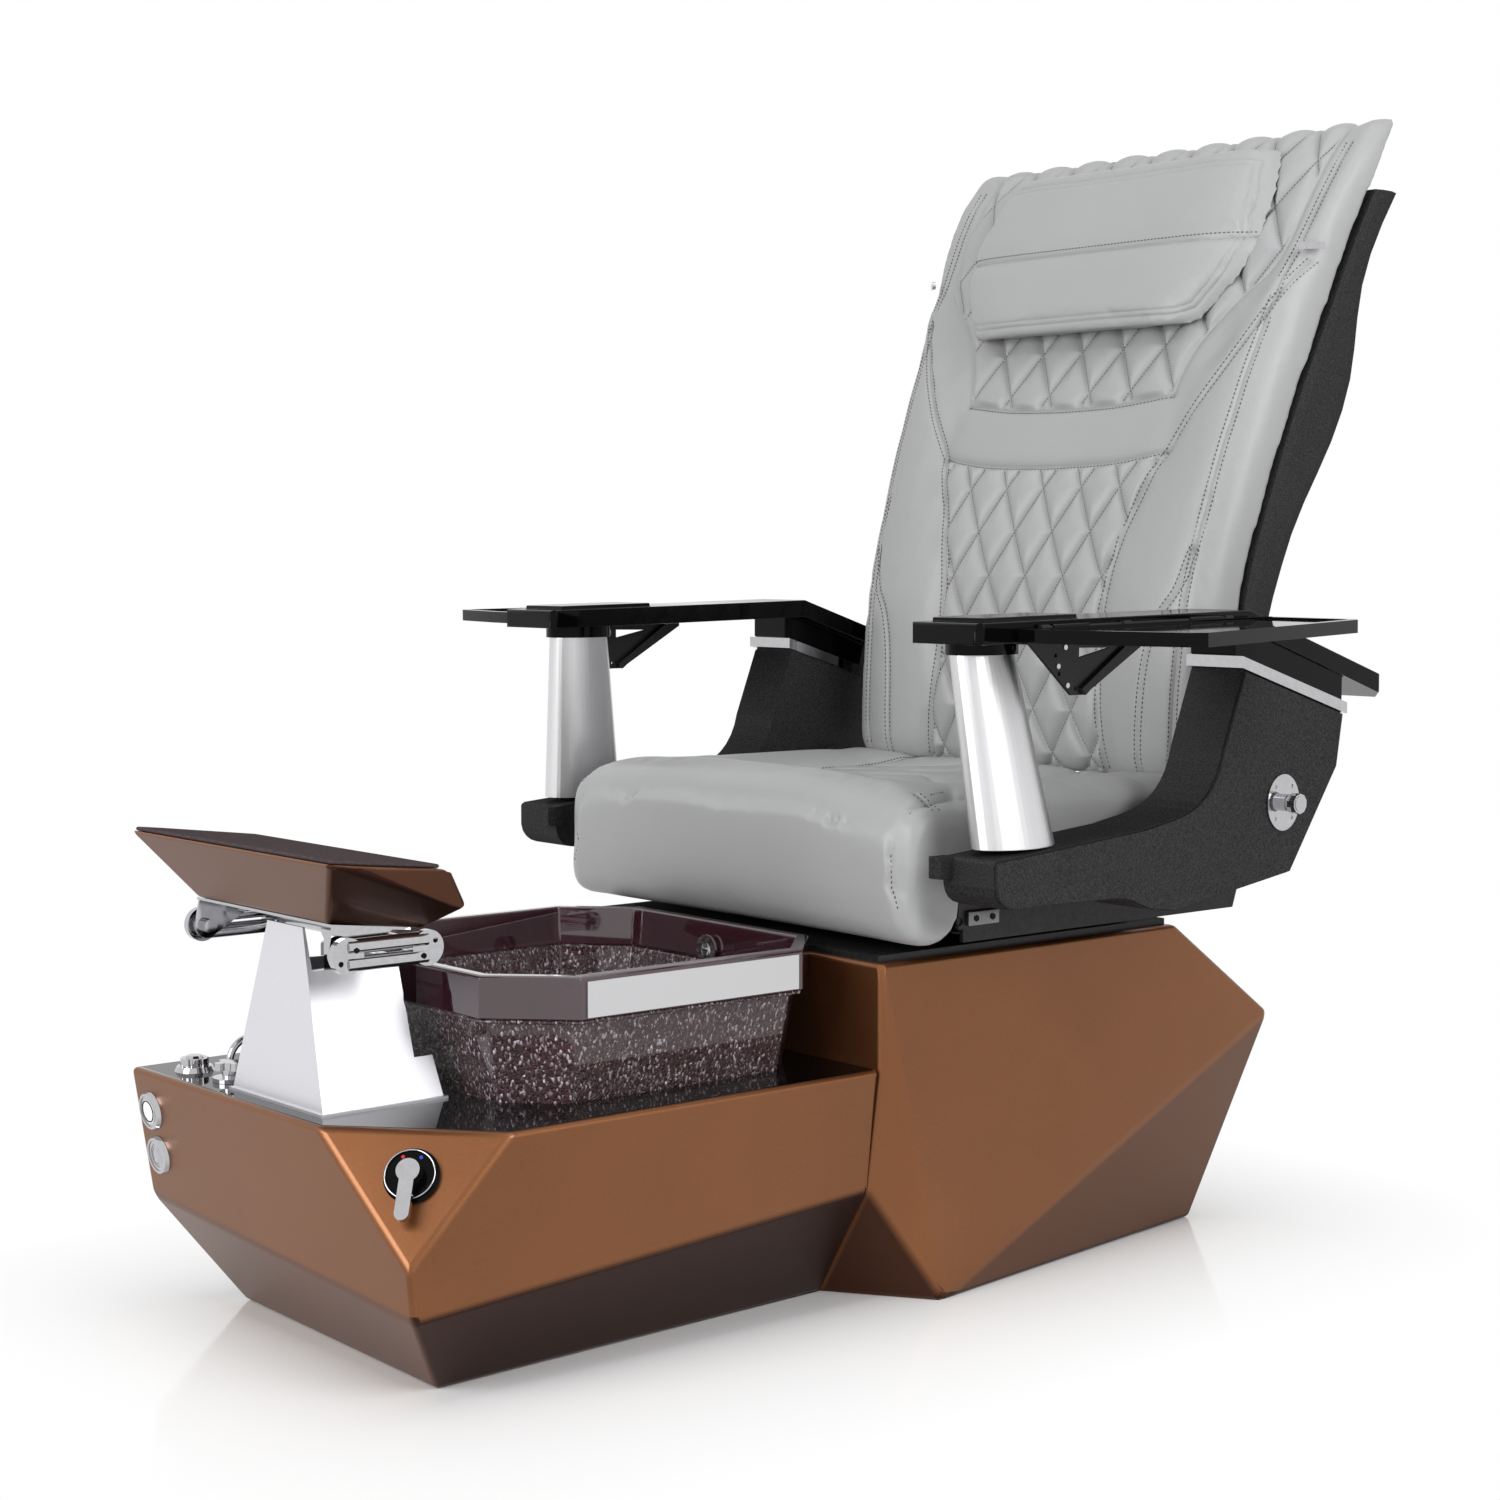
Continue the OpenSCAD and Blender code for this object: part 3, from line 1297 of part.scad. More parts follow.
module armrest(side) {
    nose = 8;
    edge = 3;
    block_rear = 640;
    color(gloss_black) on_side(side) {
        intersection() {
            along_x(0, 2 * arm_out) polygon([
                [-armrest_front, armrest_top(-armrest_front) - armrest_t], [-armrest_front, armrest_top(-armrest_front) - edge],
                [-armrest_front + edge, armrest_top(-armrest_front)], [bend_y, armrest_top(bend_y)],
                [armrest_rear - edge, armrest_top(armrest_rear - edge)], [armrest_rear, armrest_top(armrest_rear) - edge],
                [armrest_rear, armrest_top(armrest_rear) - armrest_t], [bend_y, armrest_top(bend_y) - armrest_t]
            ]);
            translate([0, 0, 600]) linear_extrude(400) polygon([
                [armrest_in + nose, -armrest_front - over], [armrest_out - nose, -armrest_front - over],
                [armrest_out, -armrest_front + nose], [armrest_out, armrest_rear - 25],
                [armrest_out - 25, armrest_rear + over], [armrest_in + 30, armrest_rear + over],
                [armrest_in + 16, armrest_rear - 14], [armrest_in + 16, bend_y], [armrest_in, 180],
                [armrest_in, -armrest_front + nose]
            ]);
        }
        // raised finger pad near the front
        along_x(armrest_in + 14, armrest_out - 18) polygon([
            [-4, armrest_top(-4) - over], [150, armrest_top(150) - over], [150, armrest_top(150) + 5],
            [-4, armrest_top(-4) + 5]
        ]);
        // collar over the post
        translate([post_up.x, post_up.y, collar_z]) linear_extrude(armrest_top(0) - armrest_t - collar_z + 2)
            polygon(ellipse(35, 50));
        // block between the armrest and the housing
        along_x(arm_in + 6, arm_out - 10) polygon([
            [mount_y0, mount_top(mount_y0) + band_h + fit], [block_rear, mount_top(block_rear) + band_h + fit],
            [block_rear, armrest_top(block_rear) - armrest_t + over], [bend_y, armrest_top(bend_y) - armrest_t + over],
            [mount_y0, armrest_top(mount_y0) - armrest_t + over]
        ]);
    }
}

function mount_top(y) = top_front[1] - tan(top_slope) * (y - top_front[0]);

module arm_trim(side) {
    proud = 2;
    front = top_front[0] - 8;
    rear = top_rear[0] + 4;
    color("silver") on_side(side) along_x(arm_in - proud, arm_out + proud) polygon([
        [front, mount_top(front) + fit], [rear, mount_top(rear) + fit], [rear, mount_top(rear) + band_h],
        [front, mount_top(front) + band_h]
    ]);
}

knob_plate_t = 3;
knob_stem_r = 6;

module knob_plate(side) {
    color("silver") on_side(side) difference() {
        union() {
            translate([0, arm_pivot_y, arm_pivot_z]) along_x(arm_out + fit, arm_out + knob_plate_t) polygon(ellipse(31, 36));
            rod_x(arm_out + fit, arm_out + 12, 11, arm_pivot_y, arm_pivot_z);
        }
        rod_x(arm_out - over, arm_out + 13, knob_stem_r + run, arm_pivot_y, arm_pivot_z);
        for (y = [-1, 1], z = [-1, 1])
            rod_x(arm_out + knob_plate_t - 1.2, arm_out + knob_plate_t + over, 2.6, arm_pivot_y + y * 16, arm_pivot_z + z * 20);
    }
}

module pull_knob(side) {
    head_l = 13;
    head_r = 13;
    seat = arm_out + 12 + fit;
    color("silver") on_side(side) {
        rod_x(arm_in + 60, seat + over, knob_stem_r, arm_pivot_y, arm_pivot_z);
        translate([seat, arm_pivot_y, arm_pivot_z]) rotate([0, 90, 0]) {
            cylinder(h = 5, r = 9, $fn = fine);
            translate([0, 0, 4]) cylinder(h = head_l, r = head_r, $fn = 10);
            translate([0, 0, 3]) cylinder(h = head_l + 2, r = head_r - 3, $fn = fine);
        }
    }
}

hinge_x = 475.6;
hinge_r = 3.4;
hinge_pin_r = 1.8;
tray_front = 26;
tray_rear = 450;
tray_top_z = 823;
tray_in = hinge_x + hinge_r + 0.4;

// Children in the tray's own frame: origin on the hinge axle at the tray's front, along the pitch.
module on_tray() {
    translate([0, tray_front, tray_top_z]) rotate([arm_pitch, 0, 0]) children();
}

tray_plan = [
    [tray_in, 0], [tray_out - 125, 11], [tray_out - 14, 32], [tray_out, 46],
    [tray_out - 78, 410], [tray_out - 92, 424], [tray_in + 10, tray_rear - tray_front + 10], [tray_in, 424]
];

module tray(side) {
    rim_w = 12;
    recess = 2.5;
    knuckle_l = 60;
    color(gloss_black) on_side(side) on_tray() difference() {
        union() {
            translate([0, 0, -tray_t]) linear_extrude(tray_t) polygon(tray_plan);
            for (y = [60, 300]) {
                rod_y(y, y + knuckle_l, hinge_r, hinge_x, 0);
                box(hinge_x, tray_in + over, y, y + knuckle_l, -hinge_r, 0);
            }
        }
        translate([0, 0, -recess]) linear_extrude(tray_t) polygon(inset(tray_plan, rim_w));
        for (y = [60, 300]) rod_y(y - over, y + knuckle_l + over, hinge_pin_r + run, hinge_x, 0);
    }
}

module tray_bracket(side) {
    plate_x = 452;
    plate_t = 5;
    color("#1a1a1c") on_side(side) {
        difference() {
            union() {
                along_x(plate_x, plate_x + plate_t) polygon([
                    [66, bracket_z(66)], [140, 742], [158, 742], [262, bracket_z(262)]
                ]);
                along_x(plate_x - 8, plate_x + plate_t + 6) polygon([
                    [158, 742], [166, 748], [262, bracket_z(262) - 8], [262, bracket_z(262)], [244, bracket_z(244)], [152, 750]
                ]);
            }
            along_x(plate_x - over, plate_x + plate_t + over) polygon([
                [152, 786], [206, bracket_z(206) - 12], [152, bracket_z(152) - 10]
            ]);
            for (p = [[112, 790], [118, 768], [146, 750]]) rod_x(plate_x - 9, plate_x + plate_t + 7, 2.6, p[0], p[1]);
        }
        for (y = [66, 240]) box(plate_x - 16, plate_x + plate_t, y, y + 20, bracket_z(y) - 3, bracket_z(y));
        on_tray() {
            rod_y(40, 380, hinge_pin_r, hinge_x, 0);
            for (y = [40, 180, 366]) {
                box(armrest_out + fit, hinge_x, y, y + 14, -hinge_r, hinge_r);
                rod_y(y, y + 14, hinge_r, hinge_x, 0);
            }
        }
    }
}

function bracket_z(y) = armrest_top(y) - armrest_t - fit;

// ---------------------------------------------------------------- assembly

base_board();
base_shell();
pedestal_shell();
deck_plate();
seat_base_plate();
slide_rails();
slide_actuator_body();
bowl();
bowl_rim();
rim_plates();
jet_housing();
jet_impeller();
drain_fitting();
drain_pump();
control_box();
valve_body();
valve_lever();
button_bezels();
button_jet();
button_drain();
deck_spout();
spray_dock();
hand_spray();
diverter_knob();
footrest_base_plate();
footrest_post();
footrest_head();
footrest_links();
footrest_bracket();
footrest_block();
footrest_pad();
slide_carriage();
seat_frame();
slide_actuator_rod();
seat_cushion();
recline_motor();
back_frame();
back_shell();
back_cushion();
massage_rails();
massage_carriage();
massage_rollers();
pillow();
pillow_clips();
arm_housing(1);  // arm_housing_left
arm_post(1);  // arm_post_left
armrest(1);  // armrest_left
arm_trim(1);  // arm_trim_left
knob_plate(1);  // knob_plate_left
pull_knob(1);  // pull_knob_left
tray(1);  // tray_left
tray_bracket(1);  // tray_bracket_left
arm_housing(-1);  // arm_housing_right
arm_post(-1);  // arm_post_right
armrest(-1);  // armrest_right
arm_trim(-1);  // arm_trim_right
knob_plate(-1);  // knob_plate_right
pull_knob(-1);  // pull_knob_right
tray(-1);  // tray_right
tray_bracket(-1);  // tray_bracket_right
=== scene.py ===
"""Looks of a pedicure spa chair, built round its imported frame."""

import math

import bmesh
import bpy
import numpy as np
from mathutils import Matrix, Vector
from mathutils.bvhtree import BVHTree


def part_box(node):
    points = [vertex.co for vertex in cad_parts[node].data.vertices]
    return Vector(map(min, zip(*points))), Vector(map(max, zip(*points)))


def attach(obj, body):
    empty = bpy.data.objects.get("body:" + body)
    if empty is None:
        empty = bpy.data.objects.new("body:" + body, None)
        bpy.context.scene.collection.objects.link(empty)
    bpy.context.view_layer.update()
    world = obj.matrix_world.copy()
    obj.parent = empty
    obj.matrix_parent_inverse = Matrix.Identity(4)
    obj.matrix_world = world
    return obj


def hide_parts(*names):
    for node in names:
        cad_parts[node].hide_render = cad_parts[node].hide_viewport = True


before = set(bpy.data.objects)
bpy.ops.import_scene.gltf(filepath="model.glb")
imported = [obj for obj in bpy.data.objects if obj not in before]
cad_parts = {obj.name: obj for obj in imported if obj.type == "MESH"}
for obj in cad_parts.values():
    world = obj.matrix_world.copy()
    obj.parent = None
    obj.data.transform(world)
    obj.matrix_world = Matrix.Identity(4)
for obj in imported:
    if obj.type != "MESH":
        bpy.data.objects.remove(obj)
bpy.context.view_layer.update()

# ------------------------------------------------------------------ studio
# The chair stands on a pale studio floor that runs into a white room.
# One big soft lamp lights its left side, a second lights its front, and a weak third lights the seat.

scene = bpy.context.scene
scene.view_settings.view_transform = "Standard"

lens = bpy.data.cameras.new("camera")
lens.sensor_width = 36
lens.lens = 63.6
camera = bpy.data.objects.new("camera", lens)
camera.location = (2.612, -2.155, 0.915)
camera.rotation_euler = (math.radians(90 - 4.35), 0, math.radians(50.13))
scene.collection.objects.link(camera)
scene.camera = camera


class Signal:
    """A value that changes over a surface. A sum on it adds its Maths nodes to the tree."""

    def __init__(self, wiring, socket):
        self.wiring = wiring
        self.socket = socket

    def sum(self, operation, first, second=None):
        sockets = {0: first} if second is None else {0: first, 1: second}
        return self.wiring.add("ShaderNodeMath", {"operation": operation}, sockets)

    def __add__(self, other):
        return self.sum("ADD", self, other)

    __radd__ = __add__

    def __sub__(self, other):
        return self.sum("SUBTRACT", self, other)

    def __rsub__(self, other):
        return self.sum("SUBTRACT", other, self)

    def __mul__(self, other):
        return self.sum("MULTIPLY", self, other)

    __rmul__ = __mul__

    def __truediv__(self, other):
        return self.sum("DIVIDE", self, other)

    def __pow__(self, other):
        return self.sum("POWER", self, other)

    def __gt__(self, other):
        return self.sum("GREATER_THAN", self, other)

    def clamped(self):
        return self.sum("MINIMUM", self.sum("MAXIMUM", self, 0.0), 1.0)


class Wiring:
    """A node tree being wired up, for a finish or for a pattern of repeated pieces."""

    def __init__(self, tree):
        self.tree = tree

    def add(self, kind, settings=None, sockets=None, out=0):
        made = self.tree.nodes.new(kind)
        for name, value in (settings or {}).items():
            if name == "stops":
                ramp = made.color_ramp
                while len(ramp.elements) < len(value):
                    ramp.elements.new(0.5)
                for stop, (place, colour) in zip(ramp.elements, value):
                    stop.position = place
                    stop.color = colour
            else:
                setattr(made, name, value)
        for name, value in (sockets or {}).items():
            if isinstance(value, Signal):
                self.tree.links.new(value.socket, made.inputs[name])
            else:
                made.inputs[name].default_value = value
        return Signal(self, made.outputs[out] if made.outputs else None)


class Finish(Wiring):
    """The surface finish of a piece: its material and the tree that paints it."""

    def __init__(self, name):
        self.material = bpy.data.materials.new(name)
        self.material.use_nodes = True
        super().__init__(self.material.node_tree)
        self.tree.nodes.clear()
        self.place = self.add("ShaderNodeTexCoord", out="Object")

    def noise(self, scale, detail=2.0, place=None, out="Fac"):
        sockets = {"Vector": place or self.place, "Scale": scale, "Detail": detail}
        return self.add("ShaderNodeTexNoise", None, sockets, out)

    def blend(self, amount, low, high):
        return self.add("ShaderNodeMix", {"data_type": "RGBA"}, {0: amount, 6: low, 7: high}, 2)

    def stretched(self, x, y, z):
        return self.add("ShaderNodeMapping", None, {"Vector": self.place, "Scale": (x, y, z)})

    def bump(self, height, distance, strength=1.0, normal=None):
        sockets = {"Height": height, "Distance": distance, "Strength": strength}
        if normal:
            sockets["Normal"] = normal
        return self.add("ShaderNodeBump", None, sockets)

    def coat(self, sockets):
        shader = self.add("ShaderNodeBsdfPrincipled", None, sockets)
        self.add("ShaderNodeOutputMaterial", None, {"Surface": shader})
        return self.material


def rays_that_see_white(wiring):
    """1 for the camera's own rays and for those through gloss and glass, 0 for the light on the chair."""
    rays = ("Camera", "Glossy", "Transmission")
    seen = [wiring.add("ShaderNodeLightPath", out=f"Is {ray} Ray") for ray in rays]
    return (seen[0] + seen[1] + seen[2]).clamped()


def white_room():
    world = bpy.data.worlds.new("white_room")
    world.use_nodes = True
    scene.world = world
    room = Wiring(world.node_tree)
    world.node_tree.nodes.clear()
    shown = rays_that_see_white(room)
    lit = room.add("ShaderNodeBackground", None, {"Color": (1, 1, 1, 1), "Strength": 0.5})
    white = room.add("ShaderNodeBackground", None, {"Color": (1, 1, 1, 1), "Strength": 1.0})
    mixed = room.add("ShaderNodeMixShader", None, {0: shown, 1: lit, 2: white})
    room.add("ShaderNodeOutputWorld", None, {"Surface": mixed})


def floor_finish():
    """A pale floor with a soft gloss round the chair, which fades to plain white further out."""
    chair_half, fade_length = (0.26, 0.62, 0), 0.40
    paint = Finish("floor_white")
    spread = paint.add("ShaderNodeVectorMath", {"operation": "ABSOLUTE"}, {0: paint.place})
    clear = paint.add("ShaderNodeVectorMath", {"operation": "SUBTRACT"}, {0: spread, 1: chair_half})
    outside = paint.add("ShaderNodeVectorMath", {"operation": "MAXIMUM"}, {0: clear, 1: (0, 0, 0)})
    apart = paint.add("ShaderNodeVectorMath", {"operation": "LENGTH"}, {0: outside}, "Value")
    far = (apart / fade_length).clamped() ** 0.7
    gloss = paint.add("ShaderNodeBsdfPrincipled", None, {
        "Base Color": (0.93, 0.93, 0.93, 1), "Roughness": 0.10, "Specular IOR Level": 0.5,
    })
    white = paint.add("ShaderNodeEmission", None, {"Color": (1, 1, 1, 1), "Strength": 1.0})
    shown = far * rays_that_see_white(paint)
    mixed = paint.add("ShaderNodeMixShader", None, {0: shown, 1: gloss, 2: white})
    paint.add("ShaderNodeOutputMaterial", None, {"Surface": mixed})
    return paint.material


def studio_floor():
    shape = bmesh.new()
    bmesh.ops.create_grid(shape, x_segments=8, y_segments=8, size=9)
    mesh = bpy.data.meshes.new("studio_floor")
    shape.to_mesh(mesh)
    mesh.materials.append(floor_finish())
    floor = bpy.data.objects.new("studio_floor", mesh)
    scene.collection.objects.link(floor)


def lamp(name, place, aim, size, power):
    light = bpy.data.lights.new(name, "AREA")
    light.shape = "RECTANGLE"
    light.size, light.size_y = size
    light.energy = power
    holder = bpy.data.objects.new(name, light)
    holder.location = place
    holder.rotation_euler = (Vector(aim) - Vector(place)).to_track_quat("-Z", "Y").to_euler()
    scene.collection.objects.link(holder)


white_room()
studio_floor()
lamp("side_softbox", (3.3, 0.2, 2.3), (0.2, 0.2, 0.5), (1.8, 2.2), 70)
lamp("front_softbox", (0.2, -3.6, 1.7), (0, -0.3, 0.5), (2.2, 1.8), 82)
lamp("top_softbox", (0.3, 0.0, 3.4), (0, 0.1, 0.5), (2.2, 2.2), 14)


# ------------------------------------------------------------------ tub shell and pedestal
# Two glass-fibre mouldings with flat facets, sprayed in a copper lacquer with a fine metal flake.
# Their edges are eased, and a dark board under them keeps them off the wet floor.

def solid_of(node_name):
    """A merged copy of a node's mesh, without the lines across its flat faces."""
    shape = bmesh.new()
    shape.from_mesh(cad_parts[node_name].data)
    bmesh.ops.remove_doubles(shape, verts=shape.verts, dist=0.00003)
    nearly_flat = math.radians(0.8)
    bmesh.ops.dissolve_limit(shape, angle_limit=nearly_flat, verts=shape.verts, edges=shape.edges)
    return shape


def hang(name, mesh, finish, body):
    """Puts a finished mesh into the scene on its body."""
    mesh.materials.clear()
    mesh.materials.append(finish)
    piece = bpy.data.objects.new(name, mesh)
    scene.collection.objects.link(piece)
    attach(piece, body)
    return piece


def baked(shape_object):
    """The object's mesh with its modifiers applied, and the object gone."""
    graph = bpy.context.evaluated_depsgraph_get()
    mesh = bpy.data.meshes.new_from_object(shape_object.evaluated_get(graph))
    bpy.data.objects.remove(shape_object)
    return mesh


def eased(node_name, finish, body, width=0.003, turns=3, sharp=28, shortest=0.012, outside=False):
    """Stands for a node with a copy whose long sharp edges are rounded off.

    With outside set, only edges between faces that look outwards are rounded, and the short steps
    between them are merged first, so that a wide rounding fits.
    """
    step_length, kept_sharp = 0.002, math.radians(36)
    shape = solid_of(node_name)
    low, high = (Vector(corner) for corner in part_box(node_name))
    middle = (low + high) / 2

    def rounds_off(edge):
        if not edge.is_manifold or edge.calc_length() < shortest:
            return False
        if not outside:
            return abs(edge.calc_face_angle()) > math.radians(sharp)
        turned_out = all(face.normal.dot(face.calc_center_median() - middle) > 0
                         for face in edge.link_faces)
        return turned_out and edge.calc_face_angle_signed() > math.radians(sharp)

    if outside:
        bmesh.ops.remove_doubles(shape, verts=shape.verts, dist=step_length)
    picked = [edge for edge in shape.edges if rounds_off(edge)]
    bmesh.ops.bevel(shape, geom=picked, offset=width, segments=turns, profile=0.5, affect="EDGES",
                    clamp_overlap=not outside)
    for face in shape.faces:
        face.smooth = True
    for edge in shape.edges:
        edge.smooth = edge.is_manifold and abs(edge.calc_face_angle()) < kept_sharp
    mesh = bpy.data.meshes.new(node_name)
    shape.to_mesh(mesh)
    holder = bpy.data.objects.new("easing", mesh)
    scene.collection.objects.link(holder)
    level = holder.modifiers.new("level", "WEIGHTED_NORMAL")
    level.weight = 100
    level.keep_sharp = True
    piece = hang(node_name + "_eased", baked(holder), finish, body)
    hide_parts(node_name)
    return piece


def finished(finish, *node_names):
    """Gives nodes that stay as they are their finish."""
    for node_name in node_names:
        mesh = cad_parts[node_name].data
        mesh.materials.clear()
        mesh.materials.append(finish)


def paint_shade_on_facets(mesh, ends=0.0):
    """Marks how far each facet is turned to the floor, the rear or, with ends, the sides: painted shade,
    which darkens the lacquer where shade falls on those facets.
    """
    turned = []
    for face in mesh.polygons:
        down = min(1.0, max(0.0, (-face.normal.z - 0.10) / 0.22))
        rear = min(0.6, max(0.0, face.normal.y * 1.3 - 0.1)) * (face.normal.z < 0.6)
        side = ends * max(0.0, abs(face.normal.x) - 0.3)
        turned.append(max(rear, side, down * (0.48 + 0.52 * min(1.0, abs(face.normal.x) * 1.4))))
    mesh.attributes.new("under", "FLOAT", "FACE").data.foreach_set("value", turned)


def copper_lacquer():
    paint = Finish("copper_lacquer")
    flake = paint.add("ShaderNodeTexVoronoi", None, {"Vector": paint.place, "Scale": 1600.0}, "Color")
    glint = paint.add("ShaderNodeSeparateColor", None, {"Color": flake})
    cloud = paint.noise(5.0, 3.0)
    # Painted shade: where the under mark is high, the copper is blended to a dark brown and loses most of its
    # coat.
    under = paint.add("ShaderNodeAttribute", {"attribute_name": "under"}, None, "Fac")
    tone = paint.blend(glint * 0.3 + cloud * 0.5, (0.155, 0.058, 0.021, 1), (0.285, 0.114, 0.044, 1))
    return paint.coat({
        "Base Color": paint.blend(under, tone, (0.036, 0.014, 0.010, 1)),
        "Metallic": 0.85,
        "Roughness": 0.33 + cloud * 0.08,
        "Normal": paint.bump(glint, 0.00012, 0.3),
        "Coat Weight": 0.30 - under * 0.26,
        "Coat Roughness": 0.12,
        "Specular IOR Level": 0.15,
    })


def layered(paint, colour, rough, normal, sheen, sheen_rough, rim=0.0):
    """A dull ground under a thin clear gloss: the shader for the black mouldings and pads."""
    ground = paint.add("ShaderNodeBsdfPrincipled", None, {
        "Base Color": colour, "Roughness": rough, "Specular IOR Level": 0.0, "Normal": normal,
    })
    gloss = paint.add("ShaderNodeBsdfPrincipled", None, {
        "Base Color": (0.9, 0.9, 0.9, 1), "Metallic": 1.0, "Roughness": sheen_rough, "Normal": normal,
    })
    slant = paint.add("ShaderNodeFresnel", None, {"IOR": 1.45, "Normal": normal})
    head_on = 0.035
    share = (slant - head_on).clamped() * rim + sheen
    mixed = paint.add("ShaderNodeMixShader", None, {0: share, 1: ground, 2: gloss})
    paint.add("ShaderNodeOutputMaterial", None, {"Surface": mixed})
    return paint.material


def gloss_moulding(name, sheen, rim):
    """Black plastic polished in the mould, which shines most where it is seen at a slant."""
    paint = Finish(name)
    wave = paint.noise(14.0, 2.0)
    colour = paint.blend(wave, (0.0012, 0.0012, 0.0014, 1), (0.003, 0.003, 0.003, 1))
    return layered(paint, colour, 0.4, paint.bump(wave, 0.0004, 0.08), sheen, 0.04, rim)


copper = copper_lacquer()
gloss_black = gloss_moulding("gloss_black", 0.008, 0.8)
# The shells' facets that turn down or to the rear get painted shade in their lacquer.
for shell_name in ("base_shell", "pedestal_shell"):
    shell = eased(shell_name, copper, "base", 0.007, 5, 9, 0.05, True)
    paint_shade_on_facets(shell.data)
eased("deck_plate", gloss_moulding("deck_gloss", 0.06, 0.8), "base", 0.002)
finished(gloss_black, "base_board")


# ------------------------------------------------------------------ bowl
# A cast resin bowl with a crackled glaze hangs in the deck. A thick clear plum rim is glued on top of it,
# and satin steel plates are let into the rim. The jet's outlet and the drain are chromed.

def crackled_resin():
    paint = Finish("crackled_resin")
    run = paint.stretched(1, 1, 0.55)
    cells = {"Vector": run, "Scale": 430.0, "Randomness": 1.0}
    colour = paint.add("ShaderNodeTexVoronoi", None, cells, "Color")
    spark = paint.add("ShaderNodeSeparateColor", None, {"Color": colour})
    hue = paint.add("ShaderNodeSeparateColor", None, {"Color": colour}, "Green")
    crack = paint.add("ShaderNodeTexVoronoi", {"feature": "DISTANCE_TO_EDGE"}, cells, "Distance")
    glint = (spark > 0.83) * (0.25 + hue * 0.75)
    dark = paint.blend(hue, (0.036, 0.014, 0.018, 1), (0.115, 0.052, 0.055, 1))
    lilac = paint.blend(hue, (0.50, 0.38, 0.52, 1), (0.78, 0.68, 0.74, 1))
    return paint.coat({
        "Base Color": paint.blend(glint, dark, lilac),
        "Roughness": 0.16,
        "Normal": paint.bump(crack * 6.0 + spark * 0.6, 0.0014, 0.9),
        "Coat Weight": 1.0,
        "Coat Roughness": 0.04,
    })


def plum_resin():
    paint = Finish("plum_resin")
    swirl = paint.noise(11.0, 3.0)
    return paint.coat({
        "Base Color": paint.blend(swirl, (0.040, 0.012, 0.020, 1), (0.085, 0.028, 0.040, 1)),
        "Roughness": 0.03,
        "Transmission Weight": 0.45,
        "Specular IOR Level": 0.8,
        "Coat Weight": 1.0,
        "Coat Roughness": 0.02,
    })


def satin_silver(name, tone, rough, run=(1, 60, 60), cool=1.01):
    """Brushed metal whose fine lines lie across the axis with the highest run."""
    paint = Finish(name)
    brush = paint.noise(40.0, 4.0, paint.stretched(*run))
    return paint.coat({
        "Base Color": paint.blend(brush, (tone * 0.86, tone * 0.86, tone * 0.88, 1),
                                  (tone, tone, tone * cool, 1)),
        "Metallic": 1.0,
        "Roughness": rough + brush * 0.1,
        "Normal": paint.bump(brush, 0.00004, 0.4),
    })


def chrome_plate():
    paint = Finish("chrome")
    haze = paint.noise(120.0, 2.0)
    return paint.coat({
        "Base Color": paint.blend(haze, (0.44, 0.44, 0.46, 1), (0.56, 0.56, 0.575, 1)),
        "Metallic": 1.0,
        "Roughness": 0.04 + haze * 0.05,
    })


chrome = chrome_plate()
eased("bowl", crackled_resin(), "base", 0.003, 3, 14)
eased("bowl_rim", plum_resin(), "base", 0.003, 3, 14)
finished(satin_silver("satin_silver", 0.68, 0.26), "rim_plates")
finished(chrome, "jet_housing", "drain_fitting")


# ------------------------------------------------------------------ works inside the base
# The drain pump and the control box are closed units of moulded black plastic, screwed down under the deck.
# The jet's impeller is white plastic and turns behind the outlet in the bowl's wall.

def moulded_plastic(name, low, high, rough, grain=900.0, depth=0.00025, sheen=0.03, sheen_rough=0.3):
    """Plastic with a fine moulded grain between a low and a high tone, under a faint sheen."""
    paint = Finish(name)
    texture = paint.noise(grain, 3.0)
    patch = paint.noise(7.0, 2.0)
    speck = ((texture - 0.36) * 3.5).clamped()
    colour = paint.blend(speck * 0.8 + patch * 0.2, (*low, 1), (*high, 1))
    return layered(paint, colour, rough, paint.bump(texture, depth, 0.8), sheen, sheen_rough)


matte_black = moulded_plastic("matte_black", (0.010, 0.010, 0.011), (0.022, 0.022, 0.023), 0.45,
                              700.0, 0.0001)
impeller_white = moulded_plastic("impeller_white", (0.7, 0.7, 0.7), (0.78, 0.78, 0.78), 0.3,
                                 200.0, 0.0001)
finished(matte_black, "drain_pump", "control_box")
finished(impeller_white, "jet_impeller")


# ------------------------------------------------------------------ deck fittings and controls
# The spout, the hand spray's dock and the diverter are chromed brass, fixed through the deck with nuts.
# A mixer valve sits on the corner facet of the tub, and two push buttons are set in its front.

def laid_on(tree, line, place, way):
    """The line's points dropped on a cover, each with the cover's normal there."""
    found = []
    for point in line:
        start = Vector(place(point))
        hit, normal, _, _ = tree.ray_cast(start, Vector(way))
        if hit is not None:
            found.append((hit + normal * 0.0003, normal))
    return found


def skin(node_name):
    """A node's surface, to set small fittings on."""
    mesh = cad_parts[node_name].data
    return BVHTree.FromPolygons([v.co for v in mesh.vertices], [tuple(p.vertices) for p in mesh.polygons])


